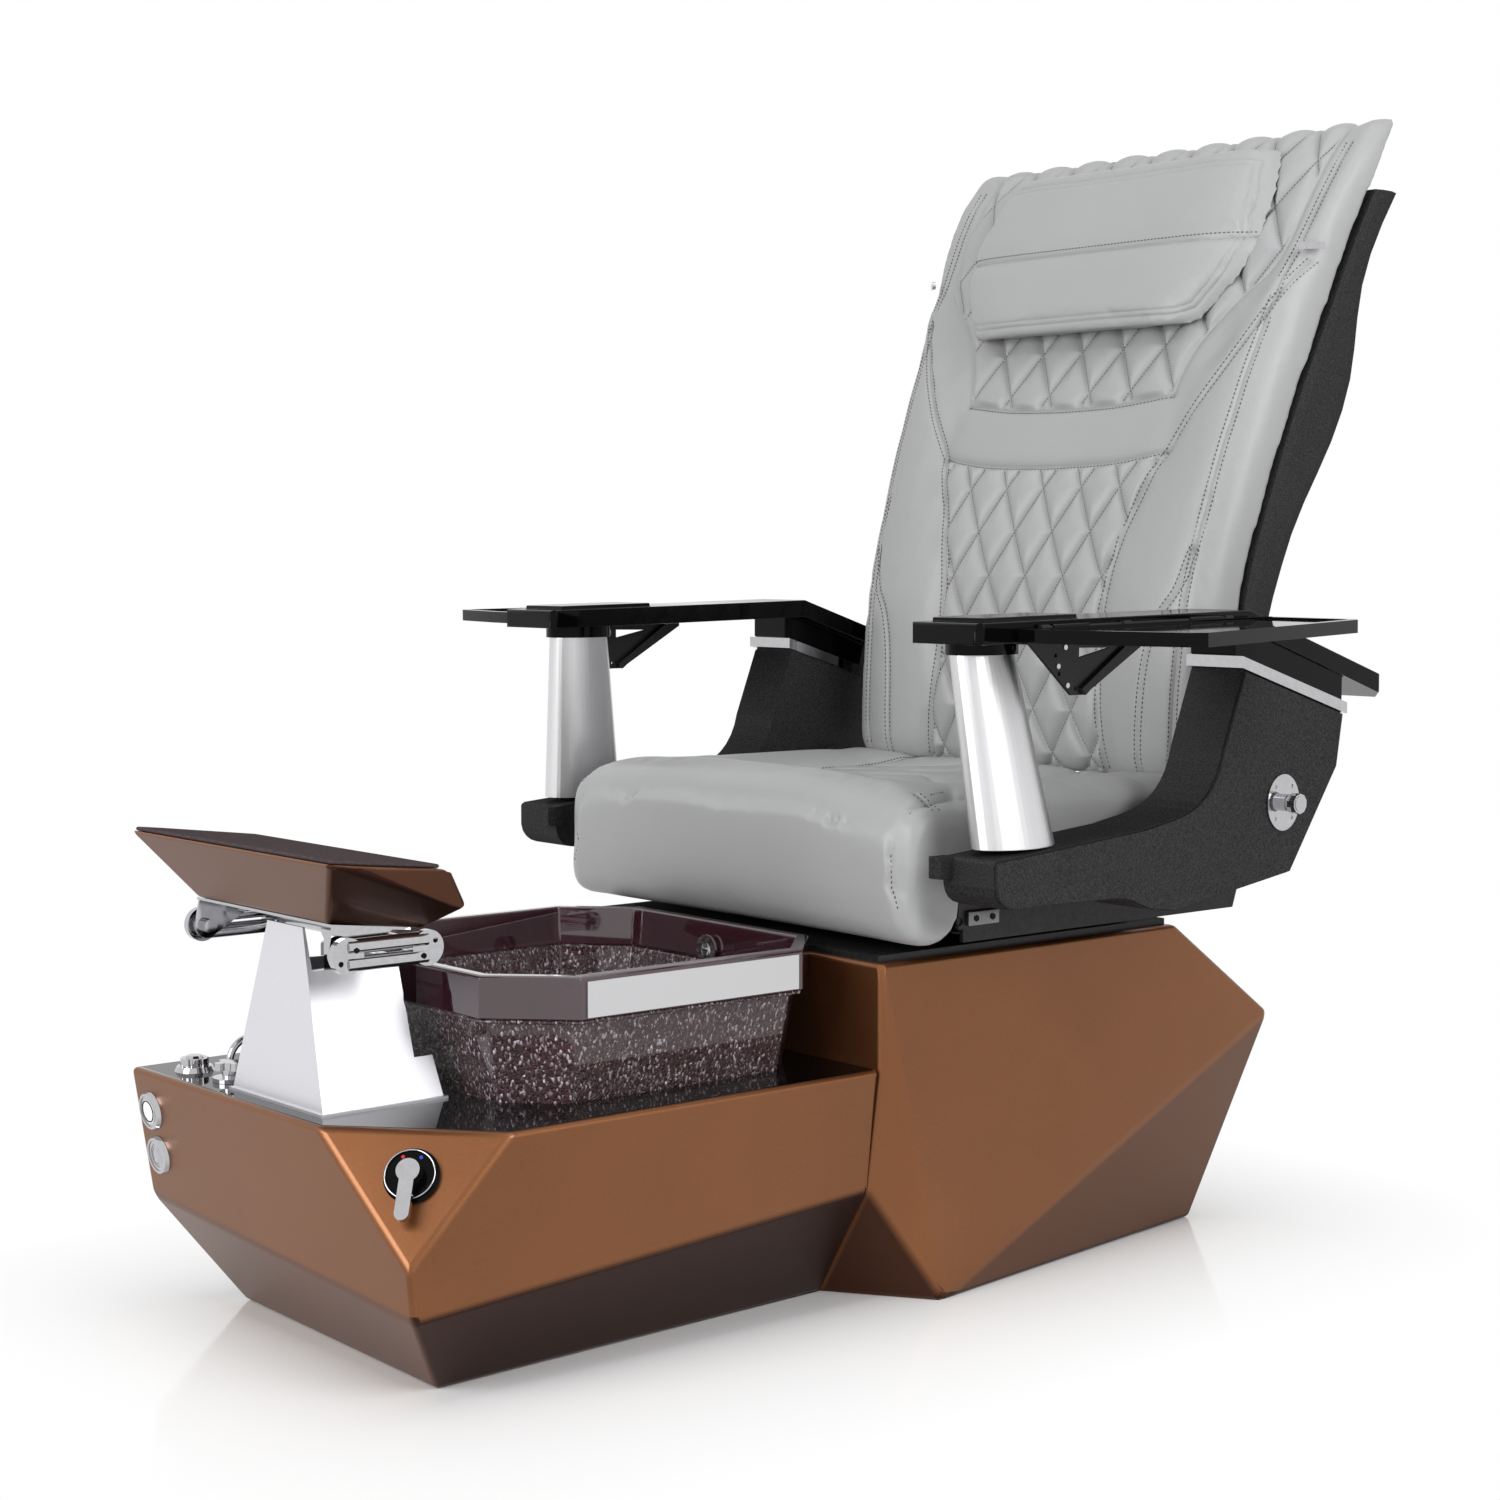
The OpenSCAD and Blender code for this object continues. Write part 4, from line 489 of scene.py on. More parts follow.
def stud_pattern():
    """The tree that sets a short round or many-sided stud on each point, square to its surface."""
    tree = bpy.data.node_groups.new("studs", "GeometryNodeTree")
    face = tree.interface
    face.new_socket("Geometry", in_out="INPUT", socket_type="NodeSocketGeometry")
    for socket_name in ("Radius", "Height"):
        face.new_socket(socket_name, in_out="INPUT", socket_type="NodeSocketFloat")
    face.new_socket("Sides", in_out="INPUT", socket_type="NodeSocketInt")
    face.new_socket("Finish", in_out="INPUT", socket_type="NodeSocketMaterial")
    face.new_socket("Geometry", in_out="OUTPUT", socket_type="NodeSocketGeometry")
    fix = Wiring(tree)
    given = tree.nodes.new("NodeGroupInput")
    take = {s.name: Signal(fix, s) for s in given.outputs if s.name}
    way = fix.add("GeometryNodeInputNamedAttribute", {"data_type": "FLOAT_VECTOR"}, {"Name": "way"})
    square = fix.add("FunctionNodeAlignRotationToVector", {"axis": "Z"}, {"Vector": way})
    stud = fix.add("GeometryNodeMeshCylinder", None,
                   {"Vertices": take["Sides"], "Radius": take["Radius"], "Depth": take["Height"]})
    spots = fix.add("GeometryNodeInstanceOnPoints", None,
                    {"Points": take["Geometry"], "Instance": stud, "Rotation": square})
    real = fix.add("GeometryNodeRealizeInstances", None, {"Geometry": spots})
    done = fix.add("GeometryNodeSetMaterial", None, {"Geometry": real, "Material": take["Finish"]})
    tree.links.new(done.socket, tree.nodes.new("NodeGroupOutput").inputs[0])
    return tree


def patterned(pattern, mesh, values):
    """The plain mesh that a pattern makes from a mesh of points or lines."""
    holder = bpy.data.objects.new("pattern", mesh)
    scene.collection.objects.link(holder)
    modifier = holder.modifiers.new("pattern", "NODES")
    modifier.node_group = pattern
    for item in pattern.interface.items_tree:
        if item.in_out == "INPUT" and item.name in values:
            modifier[item.identifier] = values[item.name]
    return baked(holder)


def studded(name, spots, body, finish, radius, height=0.0024, sides=6):
    """Screw heads, sockets or marks on (point, normal) spots, as one piece on a body."""
    mesh = bpy.data.meshes.new(name)
    mesh.from_pydata([tuple(point) for point, _ in spots], [], [])
    ways = [c for _, normal in spots for c in normal]
    mesh.attributes.new("way", "FLOAT_VECTOR", "POINT").data.foreach_set("vector", ways)
    values = {"Radius": radius, "Height": height, "Sides": sides, "Finish": finish}
    return hang(name, patterned(studs, mesh, values), finish, body)


def ring(name, spot, radius, thick, body, finish):
    """A thin round ring lying on a (point, normal) spot."""
    point, way = spot
    turn = way.to_track_quat("Z", "Y")
    shape = bmesh.new()
    steps, sides = 56, 8
    loops = []
    for step in range(steps):
        a = 2 * math.pi * step / steps
        loop = []
        for k in range(sides):
            b = 2 * math.pi * k / sides
            reach = radius + thick * math.cos(b)
            corner = Vector((reach * math.cos(a), reach * math.sin(a), thick * math.sin(b)))
            loop.append(shape.verts.new(point + turn @ corner))
        loops.append(loop)
    for a in range(steps):
        for k in range(sides):
            first, second = loops[a], loops[(a + 1) % steps]
            shape.faces.new((first[k], second[k], second[(k + 1) % sides], first[(k + 1) % sides]))
    bmesh.ops.recalc_face_normals(shape, faces=shape.faces)
    mesh = bpy.data.meshes.new(name)
    shape.to_mesh(mesh)
    mesh.shade_smooth()
    return hang(name, mesh, finish, body)


studs = stud_pattern()
facet_way = Vector((0.555, -0.616, 0.559))
facet_side = facet_way.cross((0, 0, 1)).normalized()
facet_up = facet_side.cross(facet_way)
finished(chrome, "deck_spout", "spray_dock", "hand_spray", "diverter_knob", "valve_lever", "button_bezels")
finished(gloss_black, "valve_body")
button_white = moulded_plastic("button_white", (0.78, 0.78, 0.79), (0.84, 0.84, 0.84), 0.25,
                               300.0, 0.00002)
finished(chrome, "button_drain")
finished(button_white, "button_jet")
clear_of_lever = facet_side * 0.022
over_valve = Vector((0.240, -0.646, 0.247)) + clear_of_lever + facet_way * 0.1
valve_face = laid_on(skin("valve_body"), [over_valve], lambda p: p, -facet_way)[0][0] - clear_of_lever
ring("valve_ring", (valve_face, facet_way), 0.0275, 0.0010, "base", chrome)
for mark, paint, shift in (("cold", (0.02, 0.06, 0.45), -1), ("hot", (0.50, 0.02, 0.02), 1)):
    colour = moulded_plastic("mark_" + mark, paint, paint, 0.4, 300.0, 0.00002)
    spot = valve_face + facet_side * 0.010 * shift + facet_up * 0.019
    studded("valve_mark_" + mark, [(spot, facet_way)], "base", colour, 0.0020, 0.0010, 16)
jet_face = laid_on(skin("button_jet"), [(-0.258, 0.2417)], lambda p: (p[0], -1, p[1]), (0, 1, 0))
ring("button_jet_ring", jet_face[0], 0.0128, 0.0008, "button_jet", matte_black)


# ------------------------------------------------------------------ footrest
# A post folded from stainless sheet stands on the deck. Its cast head carries a copper block on a pair of
# chromed links that lift and tilt, and a brown foot pad is glued on the block.

brushed_post = satin_silver("brushed_post", 0.80, 0.30, (60, 60, 1), 1.06)
finished(brushed_post, "footrest_post", "footrest_base_plate")
finished(chrome, "footrest_head", "footrest_links", "footrest_bracket")
block = eased("footrest_block", copper, "footrest", 0.0045, 5, 14, 0.03, True)
# Painted shade on the block's lower, rear and side facets.
paint_shade_on_facets(block.data, 1.1)
foot_brown = moulded_plastic("foot_pad_brown", (0.045, 0.032, 0.034), (0.085, 0.066, 0.070), 0.7,
                             400.0, 0.0002, 0.01, 0.5)
pad = eased("footrest_pad", foot_brown, "footrest", 0.003, 4, 20)

link_skin = skin("footrest_links")
pin_depths, pin_height = (-0.675, -0.573), 0.477
beside_pin = ((0.009, 0.006), (-0.008, -0.008))
spread = [(y + dy, pin_height + dz) for y in pin_depths for dy, dz in beside_pin]
spots = []
for side in (-1, 1):
    spots += laid_on(link_skin, spread, lambda p, s=side: (s * 1.0, p[0], p[1]), (-side, 0, 0))
studded("link_screws", spots, "footrest_links", gloss_black, 0.0034, 0.0020)


# ------------------------------------------------------------------ seat slide
# Zinc plated runners, bolted to the pedestal's top plate, carry the seat frame and its actuator.
# The plate, the carriage and the frames are steel painted black. The massage gear runs inside the back.

painted_black = moulded_plastic("painted_black", (0.012, 0.012, 0.012), (0.024, 0.024, 0.024), 0.35,
                                150.0, 0.00004)
finished(painted_black, "seat_base_plate", "seat_frame", "recline_motor", "back_frame", "slide_carriage")
finished(satin_silver("zinc", 0.62, 0.3), "slide_rails", "slide_actuator_body", "slide_actuator_rod",
         "massage_rails", "massage_carriage")
finished(matte_black, "massage_rollers")


def latch_plate():
    """The small folded plate under the seat's side that holds its release lever."""
    shape = bmesh.new()
    bmesh.ops.create_cube(shape, size=1.0)
    bmesh.ops.scale(shape, vec=(0.006, 0.052, 0.018), verts=shape.verts)
    bmesh.ops.translate(shape, vec=(0.3335, 0.118, 0.467), verts=shape.verts)
    bmesh.ops.bevel(shape, geom=shape.edges[:], offset=0.0015, segments=3, profile=0.5, affect="EDGES")
    mesh = bpy.data.meshes.new("seat_latch_plate")
    shape.to_mesh(mesh)
    mesh.shade_smooth()
    return mesh


hang("seat_latch_plate", latch_plate(), satin_silver("dark_zinc", 0.22, 0.35), "seat")
latch_spots = [(Vector((0.3366, y, 0.467)), Vector((1, 0, 0))) for y in (0.104, 0.132)]
studded("seat_latch_screws", latch_spots, "seat", gloss_black, 0.0042)


# ------------------------------------------------------------------ seat cushion
# A foam cushion in a cover of soft grey leather: a fat front roll, raised sides and a centre panel,
# joined with double rows of stitches. It is pulled over a board that is screwed to the seat frame.

def grey_leather():
    paint = Finish("grey_leather")
    pebble = paint.add("ShaderNodeTexVoronoi", {"feature": "DISTANCE_TO_EDGE"},
                       {"Vector": paint.place, "Scale": 620.0}, "Distance")
    patch = paint.noise(6.0, 3.0)
    crease = paint.noise(55.0, 4.0)
    grain = (pebble * 6.0).clamped()
    return paint.coat({
        "Base Color": paint.blend(patch * 0.6 + grain * 0.4, (0.315, 0.318, 0.322, 1),
                                  (0.385, 0.387, 0.390, 1)),
        "Roughness": 0.37 + patch * 0.08,
        "Normal": paint.bump(crease, 0.0009, 0.16, paint.bump(grain, 0.00012, 0.35)),
        "Specular IOR Level": 0.45,
    })


def relaxed(points, edges, rounds, pull=0.5):
    """Points moved towards their neighbours, which takes the facets out of a fine mesh."""
    number = np.zeros(len(points))
    np.add.at(number, edges[:, 0], 1)
    np.add.at(number, edges[:, 1], 1)
    for _ in range(rounds):
        total = np.zeros_like(points)
        np.add.at(total, edges[:, 0], points[edges[:, 1]])
        np.add.at(total, edges[:, 1], points[edges[:, 0]])
        points = points + pull * (total / number[:, None] - points)
    return points


def coords(mesh):
    flat = np.empty(len(mesh.vertices) * 3, np.float32)
    mesh.vertices.foreach_get("co", flat)
    return flat.reshape(-1, 3).astype(float)


def normals(mesh):
    flat = np.empty(len(mesh.vertices) * 3, np.float32)
    mesh.vertex_normals.foreach_get("vector", flat)
    return flat.reshape(-1, 3).astype(float)


def set_coords(mesh, points):
    mesh.vertices.foreach_set("co", points.astype(np.float32).ravel())
    mesh.update()


def stuffed(node_name, voxel, rounds, cap):
    """A cushion's cover: the node's solid in fine squares, relaxed, then blown up as foam fills a cover.

    The cover starts half of cap inside the solid and swells by cap at most.
    """
    pressure, last_step = 4.0, 20
    shape = solid_of(node_name)
    mesh = bpy.data.meshes.new(node_name)
    shape.to_mesh(mesh)
    holder = bpy.data.objects.new("cover", mesh)
    scene.collection.objects.link(holder)
    squares = holder.modifiers.new("squares", "REMESH")
    squares.mode = "VOXEL"
    squares.voxel_size = voxel
    mesh = baked(holder)
    edges = np.empty(len(mesh.edges) * 2, np.int32)
    mesh.edges.foreach_get("vertices", edges)
    set_coords(mesh, relaxed(coords(mesh), edges.reshape(-1, 2), rounds))
    start = coords(mesh) - normals(mesh) * cap * 0.5
    set_coords(mesh, start)
    holder = bpy.data.objects.new("cover", mesh)
    scene.collection.objects.link(holder)
    cloth = holder.modifiers.new("foam", "CLOTH")
    cloth.settings.use_pressure = True
    cloth.settings.uniform_pressure_force = pressure
    cloth.settings.effector_weights.gravity = 0
    cloth.settings.quality = 4
    cloth.collision_settings.use_self_collision = False
    cloth.collision_settings.use_collision = False
    scene.frame_start, scene.frame_end = 1, last_step
    for step in range(1, last_step + 1):
        scene.frame_set(step)
    swollen = baked(holder)
    move = coords(swollen) - start
    far = np.linalg.norm(move, axis=1, keepdims=True)
    set_coords(mesh, start + move * np.minimum(1, cap / np.maximum(far, 1e-9)))
    scene.frame_set(1)
    holder = bpy.data.objects.new("cover", mesh)
    scene.collection.objects.link(holder)
    finer = holder.modifiers.new("finer", "SUBSURF")
    finer.levels = finer.render_levels = 1
    return baked(holder)


def smooth_line(points, count=60):
    """Points along a smooth curve through the given ones."""
    given = np.array(points, float)
    ends = np.vstack([2 * given[0] - given[1], given, 2 * given[-1] - given[-2]])
    steps = []
    share = max(2, count // (len(given) - 1))
    for i in range(1, len(ends) - 2):
        before, a, b, after = ends[i - 1], ends[i], ends[i + 1], ends[i + 2]
        for t in np.linspace(0, 1, share, endpoint=False):
            steps.append(0.5 * (2 * a + (b - before) * t + (2 * before - 5 * a + 4 * b - after) * t ** 2
                                + (3 * a - before - 3 * b + after) * t ** 3))
    steps.append(given[-1])
    return np.array(steps)


def gap_to(places, line):
    """Distance of each place from a line of points, in the plane that both are given in."""
    best = np.full(len(places), 1e9)
    for a, b in zip(line[:-1], line[1:]):
        along = b - a
        share = np.clip(((places - a) @ along) / max(along @ along, 1e-12), 0, 1)
        best = np.minimum(best, np.linalg.norm(places - a - share[:, None] * along, axis=1))
    return best


def beside(line, offset):
    """The line moved sideways in its plane."""
    along = np.gradient(line, axis=0)
    along /= np.linalg.norm(along, axis=1, keepdims=True) + 1e-12
    return line + offset * np.column_stack([-along[:, 1], along[:, 0]])


def split_near(mesh, near):
    """Halves the faces of a cover between the marked points, so that its creases come out crisp."""
    shape = bmesh.new()
    shape.from_mesh(mesh)
    picked = [edge for edge in shape.edges if near[edge.verts[0].index] and near[edge.verts[1].index]]
    bmesh.ops.subdivide_edges(shape, edges=picked, cuts=1, use_grid_fill=True)
    shape.to_mesh(mesh)
    shape.free()


def pressed(mesh, relief, reach=0.0055):
    """Presses seams and quilting into a cover.

    The relief gives each point's rise and its gap to the nearest crease. Faces within reach of one are split.
    """
    points, out = coords(mesh), normals(mesh)
    split_near(mesh, relief(points, out)[1] < reach)
    points, out = coords(mesh), normals(mesh)
    rise = relief(points, out)[0]
    set_coords(mesh, points + out * rise[:, None])
    mesh.shade_smooth()
    return BVHTree.FromPolygons([v.co for v in mesh.vertices], [tuple(p.vertices) for p in mesh.polygons])


def crease(gap, depth, width):
    """The dip of the cover at a seam: a sharp fold whose sides round over."""
    return -depth * np.exp(-gap / width)


def sewing_pattern():
    """The tree that sets one short stitch after another along a line of mesh edges."""
    tree = bpy.data.node_groups.new("sewing", "GeometryNodeTree")
    face = tree.interface
    face.new_socket("Geometry", in_out="INPUT", socket_type="NodeSocketGeometry")
    for name in ("Pitch", "Length", "Thread"):
        face.new_socket(name, in_out="INPUT", socket_type="NodeSocketFloat")
    face.new_socket("Finish", in_out="INPUT", socket_type="NodeSocketMaterial")
    face.new_socket("Geometry", in_out="OUTPUT", socket_type="NodeSocketGeometry")
    sew = Wiring(tree)
    given = tree.nodes.new("NodeGroupInput")
    take = {s.name: Signal(sew, s) for s in given.outputs if s.name}
    line = sew.add("GeometryNodeMeshToCurve", None, {"Mesh": take["Geometry"]})
    even = sew.add("GeometryNodeResampleCurve", {"mode": "LENGTH"},
                   {"Curve": line, "Length": take["Pitch"]})
    tangent = sew.add("GeometryNodeInputTangent")
    up = sew.add("GeometryNodeInputNamedAttribute", {"data_type": "FLOAT_VECTOR"}, {"Name": "up"})
    turned = sew.add("FunctionNodeAlignRotationToVector", {"axis": "X"}, {"Vector": tangent})
    upright = sew.add("FunctionNodeAlignRotationToVector", {"axis": "Z", "pivot_axis": "X"},
                      {"Rotation": turned, "Vector": up})
    size = sew.add("ShaderNodeCombineXYZ", None,
                   {"X": take["Length"] * 0.5, "Y": take["Thread"], "Z": take["Thread"]})
    bead = sew.add("GeometryNodeMeshUVSphere", None, {"Segments": 6, "Rings": 4, "Radius": 1.0})
    stitches = sew.add("GeometryNodeInstanceOnPoints", None,
                       {"Points": even, "Instance": bead, "Rotation": upright, "Scale": size})
    real = sew.add("GeometryNodeRealizeInstances", None, {"Geometry": stitches})
    done = sew.add("GeometryNodeSetMaterial", None, {"Geometry": real, "Material": take["Finish"]})
    tree.links.new(done.socket, tree.nodes.new("NodeGroupOutput").inputs[0])
    return tree


def sewn(name, lines, body, finish, pitch=0.0062, length=0.0042, thread=0.0009):
    """Rows of stitches along lines of (point, normal), as one piece on a body."""
    mesh = bpy.data.meshes.new(name)
    points, ups, edges = [], [], []
    for line in lines:
        first = len(points)
        points += [tuple(p) for p, _ in line]
        ups += [c for _, n in line for c in n]
        edges += [(i, i + 1) for i in range(first, len(points) - 1)]
    mesh.from_pydata(points, edges, [])
    mesh.attributes.new("up", "FLOAT_VECTOR", "POINT").data.foreach_set("vector", ups)
    made = patterned(sewing, mesh, {"Pitch": pitch, "Length": length, "Thread": thread, "Finish": finish})
    made.shade_smooth()
    return hang(name, made, finish, body)


# Painted shade: the thread is given a darker grey than its own, standing for the shade in the stitch holes
# along the seams.
def thread_dark_for_shade():
    paint = Finish("thread_dark_for_shade")
    twist = paint.noise(1500.0, 1.0)
    return paint.coat({
        "Base Color": paint.blend(twist, (0.055, 0.055, 0.057, 1), (0.12, 0.12, 0.12, 1)),
        "Roughness": 0.6,
    })


leather = grey_leather()
thread = thread_dark_for_shade()
sewing = sewing_pattern()
roll_end = 0.20
roll_seam, roll_across, roll_height = 0.036, 0.30, 0.60
centre_seam = 0.19
double_seam = (-0.0055, 0.0055)

seat = stuffed("seat_cushion", 0.007, 6, 0.006)
side_line = smooth_line([(-0.017, 0.436), (-0.021, 0.5), (-0.019, 0.572), (-0.004, 0.601), (0.035, 0.612),
                         (0.2, 0.6175), (0.4, 0.634), (0.5, 0.625)], 42)


def seat_relief(points, out):
    """The seat's seams: round each end of the roll, beside the centre panel, and the chevrons across it."""
    chevron_step, rear_rise = 0.085, 0.012
    across, depth = np.abs(points[:, 0]), points[:, 1]
    sideways = np.clip(np.abs(out[:, 0]) * 4 - 0.5, 0, 1)
    side_gap = gap_to(points[:, 1:], side_line)
    roll_gap = np.where(points[:, 2] > 0.61, np.abs(depth - roll_seam), 1)
    roll_gap += np.clip(roll_across - across, 0, 1)
    on_top = np.clip(out[:, 2] * 2, 0, 1) * np.clip((depth - 0.16) / 0.04, 0, 1)
    panel_gap = np.abs(across - centre_seam)
    inner = np.clip((centre_seam - 0.006 - across) / 0.008, 0, 1) * on_top
    slant = (depth + across * 0.75) / chevron_step
    chevron_gap = np.abs(slant - np.round(slant)) * chevron_step * 0.8
    rise = crease(side_gap, 0.0060, 0.0050) * sideways + crease(roll_gap, 0.003, 0.004)
    rise += crease(panel_gap, 0.006, 0.007) * on_top + crease(chevron_gap, 0.007, 0.010) * inner
    rise += rear_rise * np.clip((depth - 0.42) / 0.09, 0, 1) * np.clip(out[:, 2] * 2, 0, 1)
    gap = np.minimum(np.where(sideways > 0.1, side_gap, 1), roll_gap)
    top_gap = np.minimum(panel_gap, np.where(inner > 0.1, chevron_gap, 1))
    return rise, np.minimum(gap, np.where(on_top > 0.1, top_gap, 1))


seat_tree = pressed(seat, seat_relief)
seat_piece = hang("seat_cover", seat, leather, "seat")
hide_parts("seat_cushion")
rows = []
panel = np.linspace(roll_end, 0.5, 60)
round_end = np.linspace(0.1, 1.4, 24)
for side in (-1, 1):
    for offset in double_seam:
        row = laid_on(seat_tree, beside(side_line, offset), lambda p, s=side: (s, p[0], p[1]), (-side, 0, 0))
        rows.append([(point, normal) for point, normal in row if normal.x * side > 0.45])
        seam = np.column_stack([np.full(60, side * centre_seam + offset), panel])
        rows.append(laid_on(seat_tree, seam, lambda p: (p[0], p[1], 1.5), (0, 0, -1)))
        turn = []
        for a in round_end:
            outwards, up = math.cos(a), math.sin(a)
            start = (side * (roll_across + outwards), roll_seam + offset, roll_height + up)
            turn.append(laid_on(seat_tree, [start], lambda p: p, (-side * outwards, 0, -up))[0])
        rows.append(turn)
sewn("seat_stitching", rows, "seat", thread)


# ------------------------------------------------------------------ back cushion
# One padded cover over the whole back: quilted diamonds in the middle, plain bolsters at the sides
# and a plain band at shoulder height, sewn together with double seams.

# Each quilt has the height of one row of crossings, a diamond's width and height, and a sideways shift.
main_quilt = (1.0, 0.072, 0.123, 0.0)
yoke_quilt = (1.133, 0.077, 0.123, 0.0385)
middle_seam = smooth_line([(0.173, 0.600), (0.160, 0.720), (0.155, 0.836), (0.175, 0.945), (0.215, 1.048),
                           (0.290, 1.170), (0.357, 1.296)], 36)
band_low = smooth_line([(0, 1.030), (0.120, 1.034), (0.215, 1.048)], 16)
band_high = smooth_line([(0, 1.110), (0.1, 1.113), (0.197, 1.124)], 16)
yoke_side = smooth_line([(0.197, 1.124), (0.215, 1.19), (0.262, 1.25), (0.311, 1.302), (0.325, 1.40),
                         (0.33, 1.52)], 30)


def widest(across, along, count=40):
    """The largest value across at each step along a cover, to read its outline from."""
    steps = np.linspace(along.min(), along.max(), count)
    best = np.full(count, -1e9)
    np.maximum.at(best, np.abs(along[:, None] - steps[None, :]).argmin(axis=1), across)
    for _ in range(2):
        best[1:-1] = (best[:-2] + 2 * best[1:-1] + best[2:]) / 4
    return steps, best


def diamond_gap(x, z, level, wide, high, shift):
    """Distance to the nearest of the lines that cross in diamonds."""
    a = (x + shift) / wide + (z - level) / high
    b = (x + shift) / wide - (z - level) / high
    return np.minimum(np.abs(a - np.round(a)), np.abs(b - np.round(b))) / np.hypot(1 / wide, 1 / high)


def diamond_runs(area, level, wide, high, shift):
    """The stretches of the diamond lines that lie inside an area of the back."""
    runs = []
    z = np.arange(0.62, 1.50, 0.004)
    for way in (-1, 1):
        for turn in range(-12, 13):
            x = wide * (turn - way * (z - level) / high) - shift
            held = area(x, z)
            for part in np.split(np.arange(len(z)), np.flatnonzero(np.diff(held.astype(int))) + 1):
                if held[part[0]] and len(part) > 4:
                    runs.append(np.column_stack([x[part], z[part]]))
    return runs


def room_in(line_in, value, other, margin, sense):
    """How far a point lies inside a line, in steps of a few millimetres from 0 to 1."""
    return np.clip((sense * (np.interp(other, *line_in) - value) - margin) / 0.005, 0, 1)


def in_main(x, z):
    x = np.abs(x)
    return room_in((middle_seam[:, 1], middle_seam[:, 0]), x, z, 0.003, 1) * room_in(
        (band_low[:, 0], band_low[:, 1]), z, x, 0.003, 1)


def in_yoke(x, z):
    x = np.abs(x)
    return room_in((yoke_side[:, 1], yoke_side[:, 0]), x, z, 0.003, 1) * room_in(
        (band_high[:, 0], band_high[:, 1]), z, x, 0.003, -1)


back = stuffed("back_cushion", 0.0065, 5, 0.006)
places = coords(back)
back_outline = widest(np.abs(places[:, 0]), places[:, 2])
outer_seam = np.array([(np.interp(h, *back_outline) - 0.036, h) for h in np.linspace(0.63, 1.46, 24)])
bolster_seam = smooth_line([(0.243, 0.600), (0.247, 0.740), (0.262, 0.815), (0.290, 0.862),
                            (np.interp(0.915, *back_outline) - 0.038, 0.915)], 32)


back_seams = (
    (middle_seam, 0.0055, 0.0045), (band_low, 0.007, 0.006), (band_high, 0.006, 0.005),
    (yoke_side, 0.005, 0.005), (bolster_seam, 0.004, 0.004), (outer_seam, 0.0045, 0.0045),
)


def back_relief(points, out):
    """The back's seams and its two quilted areas, padded between diamond creases."""
    facing = np.clip(-out[:, 1] * 3 + out[:, 2] * 1.2, 0, 1)
    x, z = points[:, 0], points[:, 2]
    flat = np.column_stack([np.abs(x), z])
    rise, gap = np.zeros(len(points)), np.ones(len(points))
    for area, quilt in ((in_main, main_quilt), (in_yoke, yoke_quilt)):
        inside, near = area(x, z), diamond_gap(x, z, *quilt)
        rise += inside * (0.0115 * (1 - np.exp(-near / 0.0085)) - 0.0065)
        gap = np.minimum(gap, np.where(inside > 0.05, near, 1))
    for line, depth, width in back_seams:
        near = gap_to(flat, line)
        rise += crease(near, depth, width)
        gap = np.minimum(gap, near)
    return rise * facing, np.where(facing > 0.05, gap, 1)


def tucked(mesh):
    """Draws the bottom edge of the back down behind the seat."""
    drop, start, length = 0.016, 0.675, 0.055
    places = coords(mesh)
    places[:, 2] -= drop * np.clip((start - places[:, 2]) / length, 0, 1)
    set_coords(mesh, places)


tucked(back)
back_tree = pressed(back, back_relief)
back_piece = hang("back_cover", back, leather, "back")
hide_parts("back_cushion")


def from_front(tree, line):
    """A line of width and height, laid on a cover from in front of it."""
    return laid_on(tree, line, lambda p: (p[0], -1, p[1]), (0, 1, 0))


rows, fine_rows = [], []
for side in (-1, 1):
    for line in (middle_seam, bolster_seam, outer_seam):
        for offset in double_seam:
            rows.append(from_front(back_tree, beside(line, offset) * (side, 1)))
    for line in (band_low, band_high):
        rows.append(from_front(back_tree, beside(line, -0.004) * (side, 1)))
for area, quilt in ((in_main, main_quilt), (in_yoke, yoke_quilt)):
    for line in diamond_runs(lambda x, z: area(x, z) > 0.6, *quilt):
        fine_rows.append(from_front(back_tree, line))
sewn("back_stitching", rows, "back", thread)
sewn("quilt_stitching", fine_rows, "back", thread, 0.0050, 0.0034, 0.0005)


# ------------------------------------------------------------------ pillow
# A flat head pillow of the same leather over foam, lapped and sewn across its middle, with a piped edge.
# Two chromed clips hold it to the back and let it slide up and down.

pillow_seam = 1.336
pillow = stuffed("pillow", 0.006, 4, 0.006)
places = coords(pillow)
pillow_width = widest(np.abs(places[:, 0]), places[:, 2])
pillow_foot = widest(-places[:, 2], np.abs(places[:, 0]), 24)
pillow_top = widest(places[:, 2], np.abs(places[:, 0]), 24)


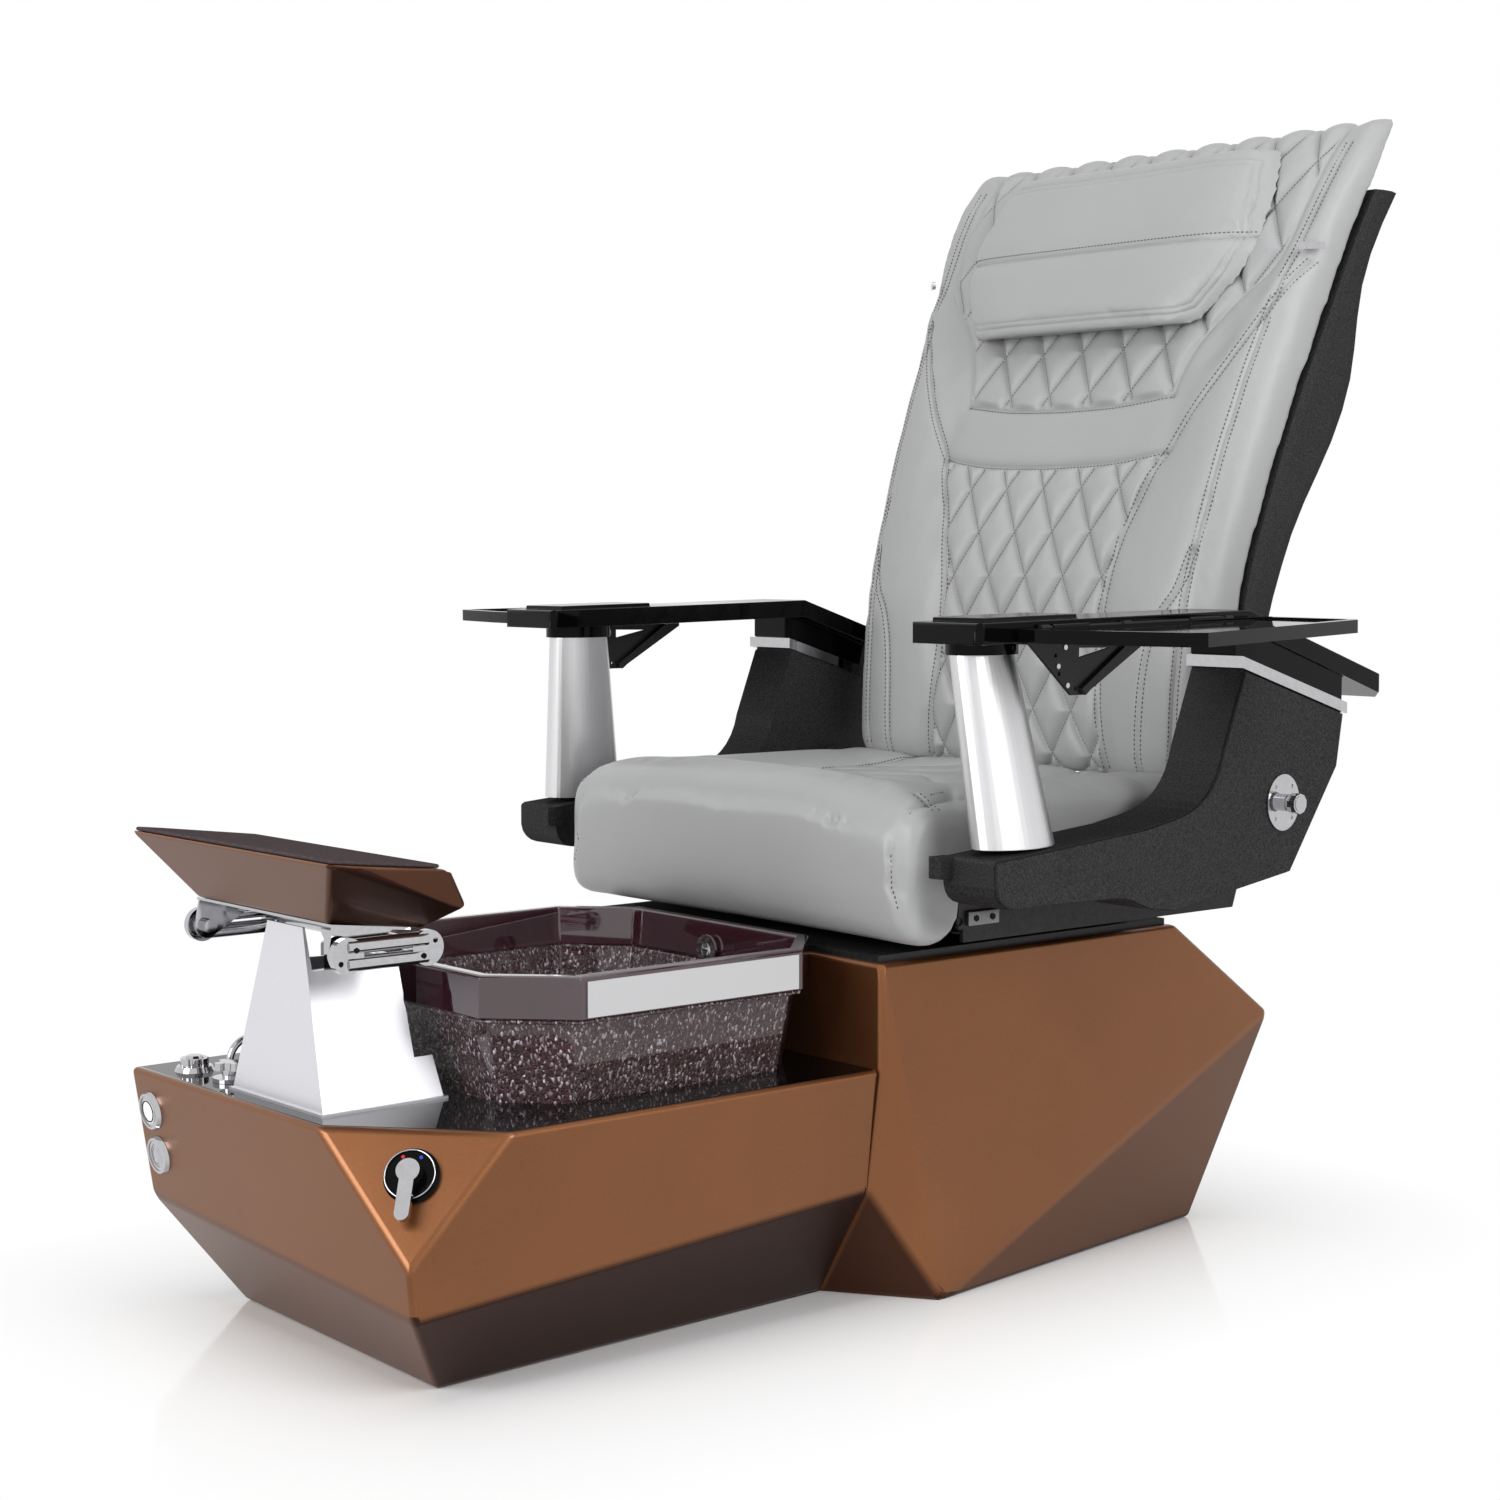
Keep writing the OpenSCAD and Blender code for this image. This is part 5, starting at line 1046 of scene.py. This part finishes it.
def pillow_relief(points, out):
    """The pillow's lap seam across the middle and the two rows of piping round its edge."""
    facing = np.clip(-out[:, 1] * 3 + out[:, 2], 0, 1)
    across, z = np.abs(points[:, 0]), points[:, 2]
    inset = np.minimum(np.interp(z, *pillow_width) - across, z + np.interp(across, *pillow_foot))
    inset = np.minimum(inset, np.interp(across, *pillow_top) - z)
    lap = z - pillow_seam
    piping = [np.abs(inset - row) for row in (0.013, 0.021)]
    rise = crease(np.abs(lap), 0.0042, 0.0035) + 0.0018 * (lap > 0) * np.exp(-np.abs(lap) / 0.02)
    rise += crease(piping[0], 0.0030, 0.0025) + crease(piping[1], 0.0022, 0.0022)
    gap = np.minimum(np.abs(lap), np.minimum(piping[0], piping[1]))
    return rise * facing, np.where(facing > 0.05, gap, 1)


pillow_tree = pressed(pillow, pillow_relief)
pillow_piece = hang("pillow_cover", pillow, leather, "pillow")
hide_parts("pillow")
across = np.linspace(-0.272, 0.272, 90)
lap_row = np.column_stack([across, np.full(90, pillow_seam + 0.006)])
sewn("pillow_stitching", [from_front(pillow_tree, lap_row)], "pillow", thread)
finished(chrome, "pillow_clips")


# ------------------------------------------------------------------ back shell
# A cover moulded in black plastic with a fine grain closes the back from behind.
# It is screwed to the back frame and hides the massage gear.

grained = moulded_plastic("grained_black", (0.006, 0.006, 0.006), (0.040, 0.038, 0.039), 0.6,
                          520.0, 0.0006, 0.02, 0.35)
finished(grained, "back_shell")


# ------------------------------------------------------------------ arms
# A grained black housing on each side turns on a pin in the seat frame. A brushed steel post and a glossy
# armrest are screwed to it, and a glossy tray folds down on a steel bracket beside the armrest.

bracket_across = 0.457
bracket_sockets = [(0.128, 0.799), (0.116, 0.777), (0.132, 0.754)]
for side in ("left", "right"):
    body = "arm_" + side
    finished(grained, "arm_housing_" + side)
    finished(satin_silver("brushed_arm", 0.74, 0.30, (60, 60, 1)), "arm_post_" + side)
    eased("armrest_" + side, gloss_black, body, 0.002)
    eased("tray_" + side, gloss_black, "tray_" + side, 0.002)
    finished(chrome, "arm_trim_" + side, "knob_plate_" + side, "pull_knob_" + side)
    finished(matte_black, "tray_bracket_" + side)
    bracket = skin("tray_bracket_" + side)
    out = 1 if side == "left" else -1
    spots = []
    for face in (-1, 1):
        spots += laid_on(bracket, bracket_sockets,
                         lambda p, f=face, o=out: (o * bracket_across + f * 0.03, p[0], p[1]), (-face, 0, 0))
    studded("bracket_screws_" + side, spots, body, chrome, 0.0032, 0.0022, 12)
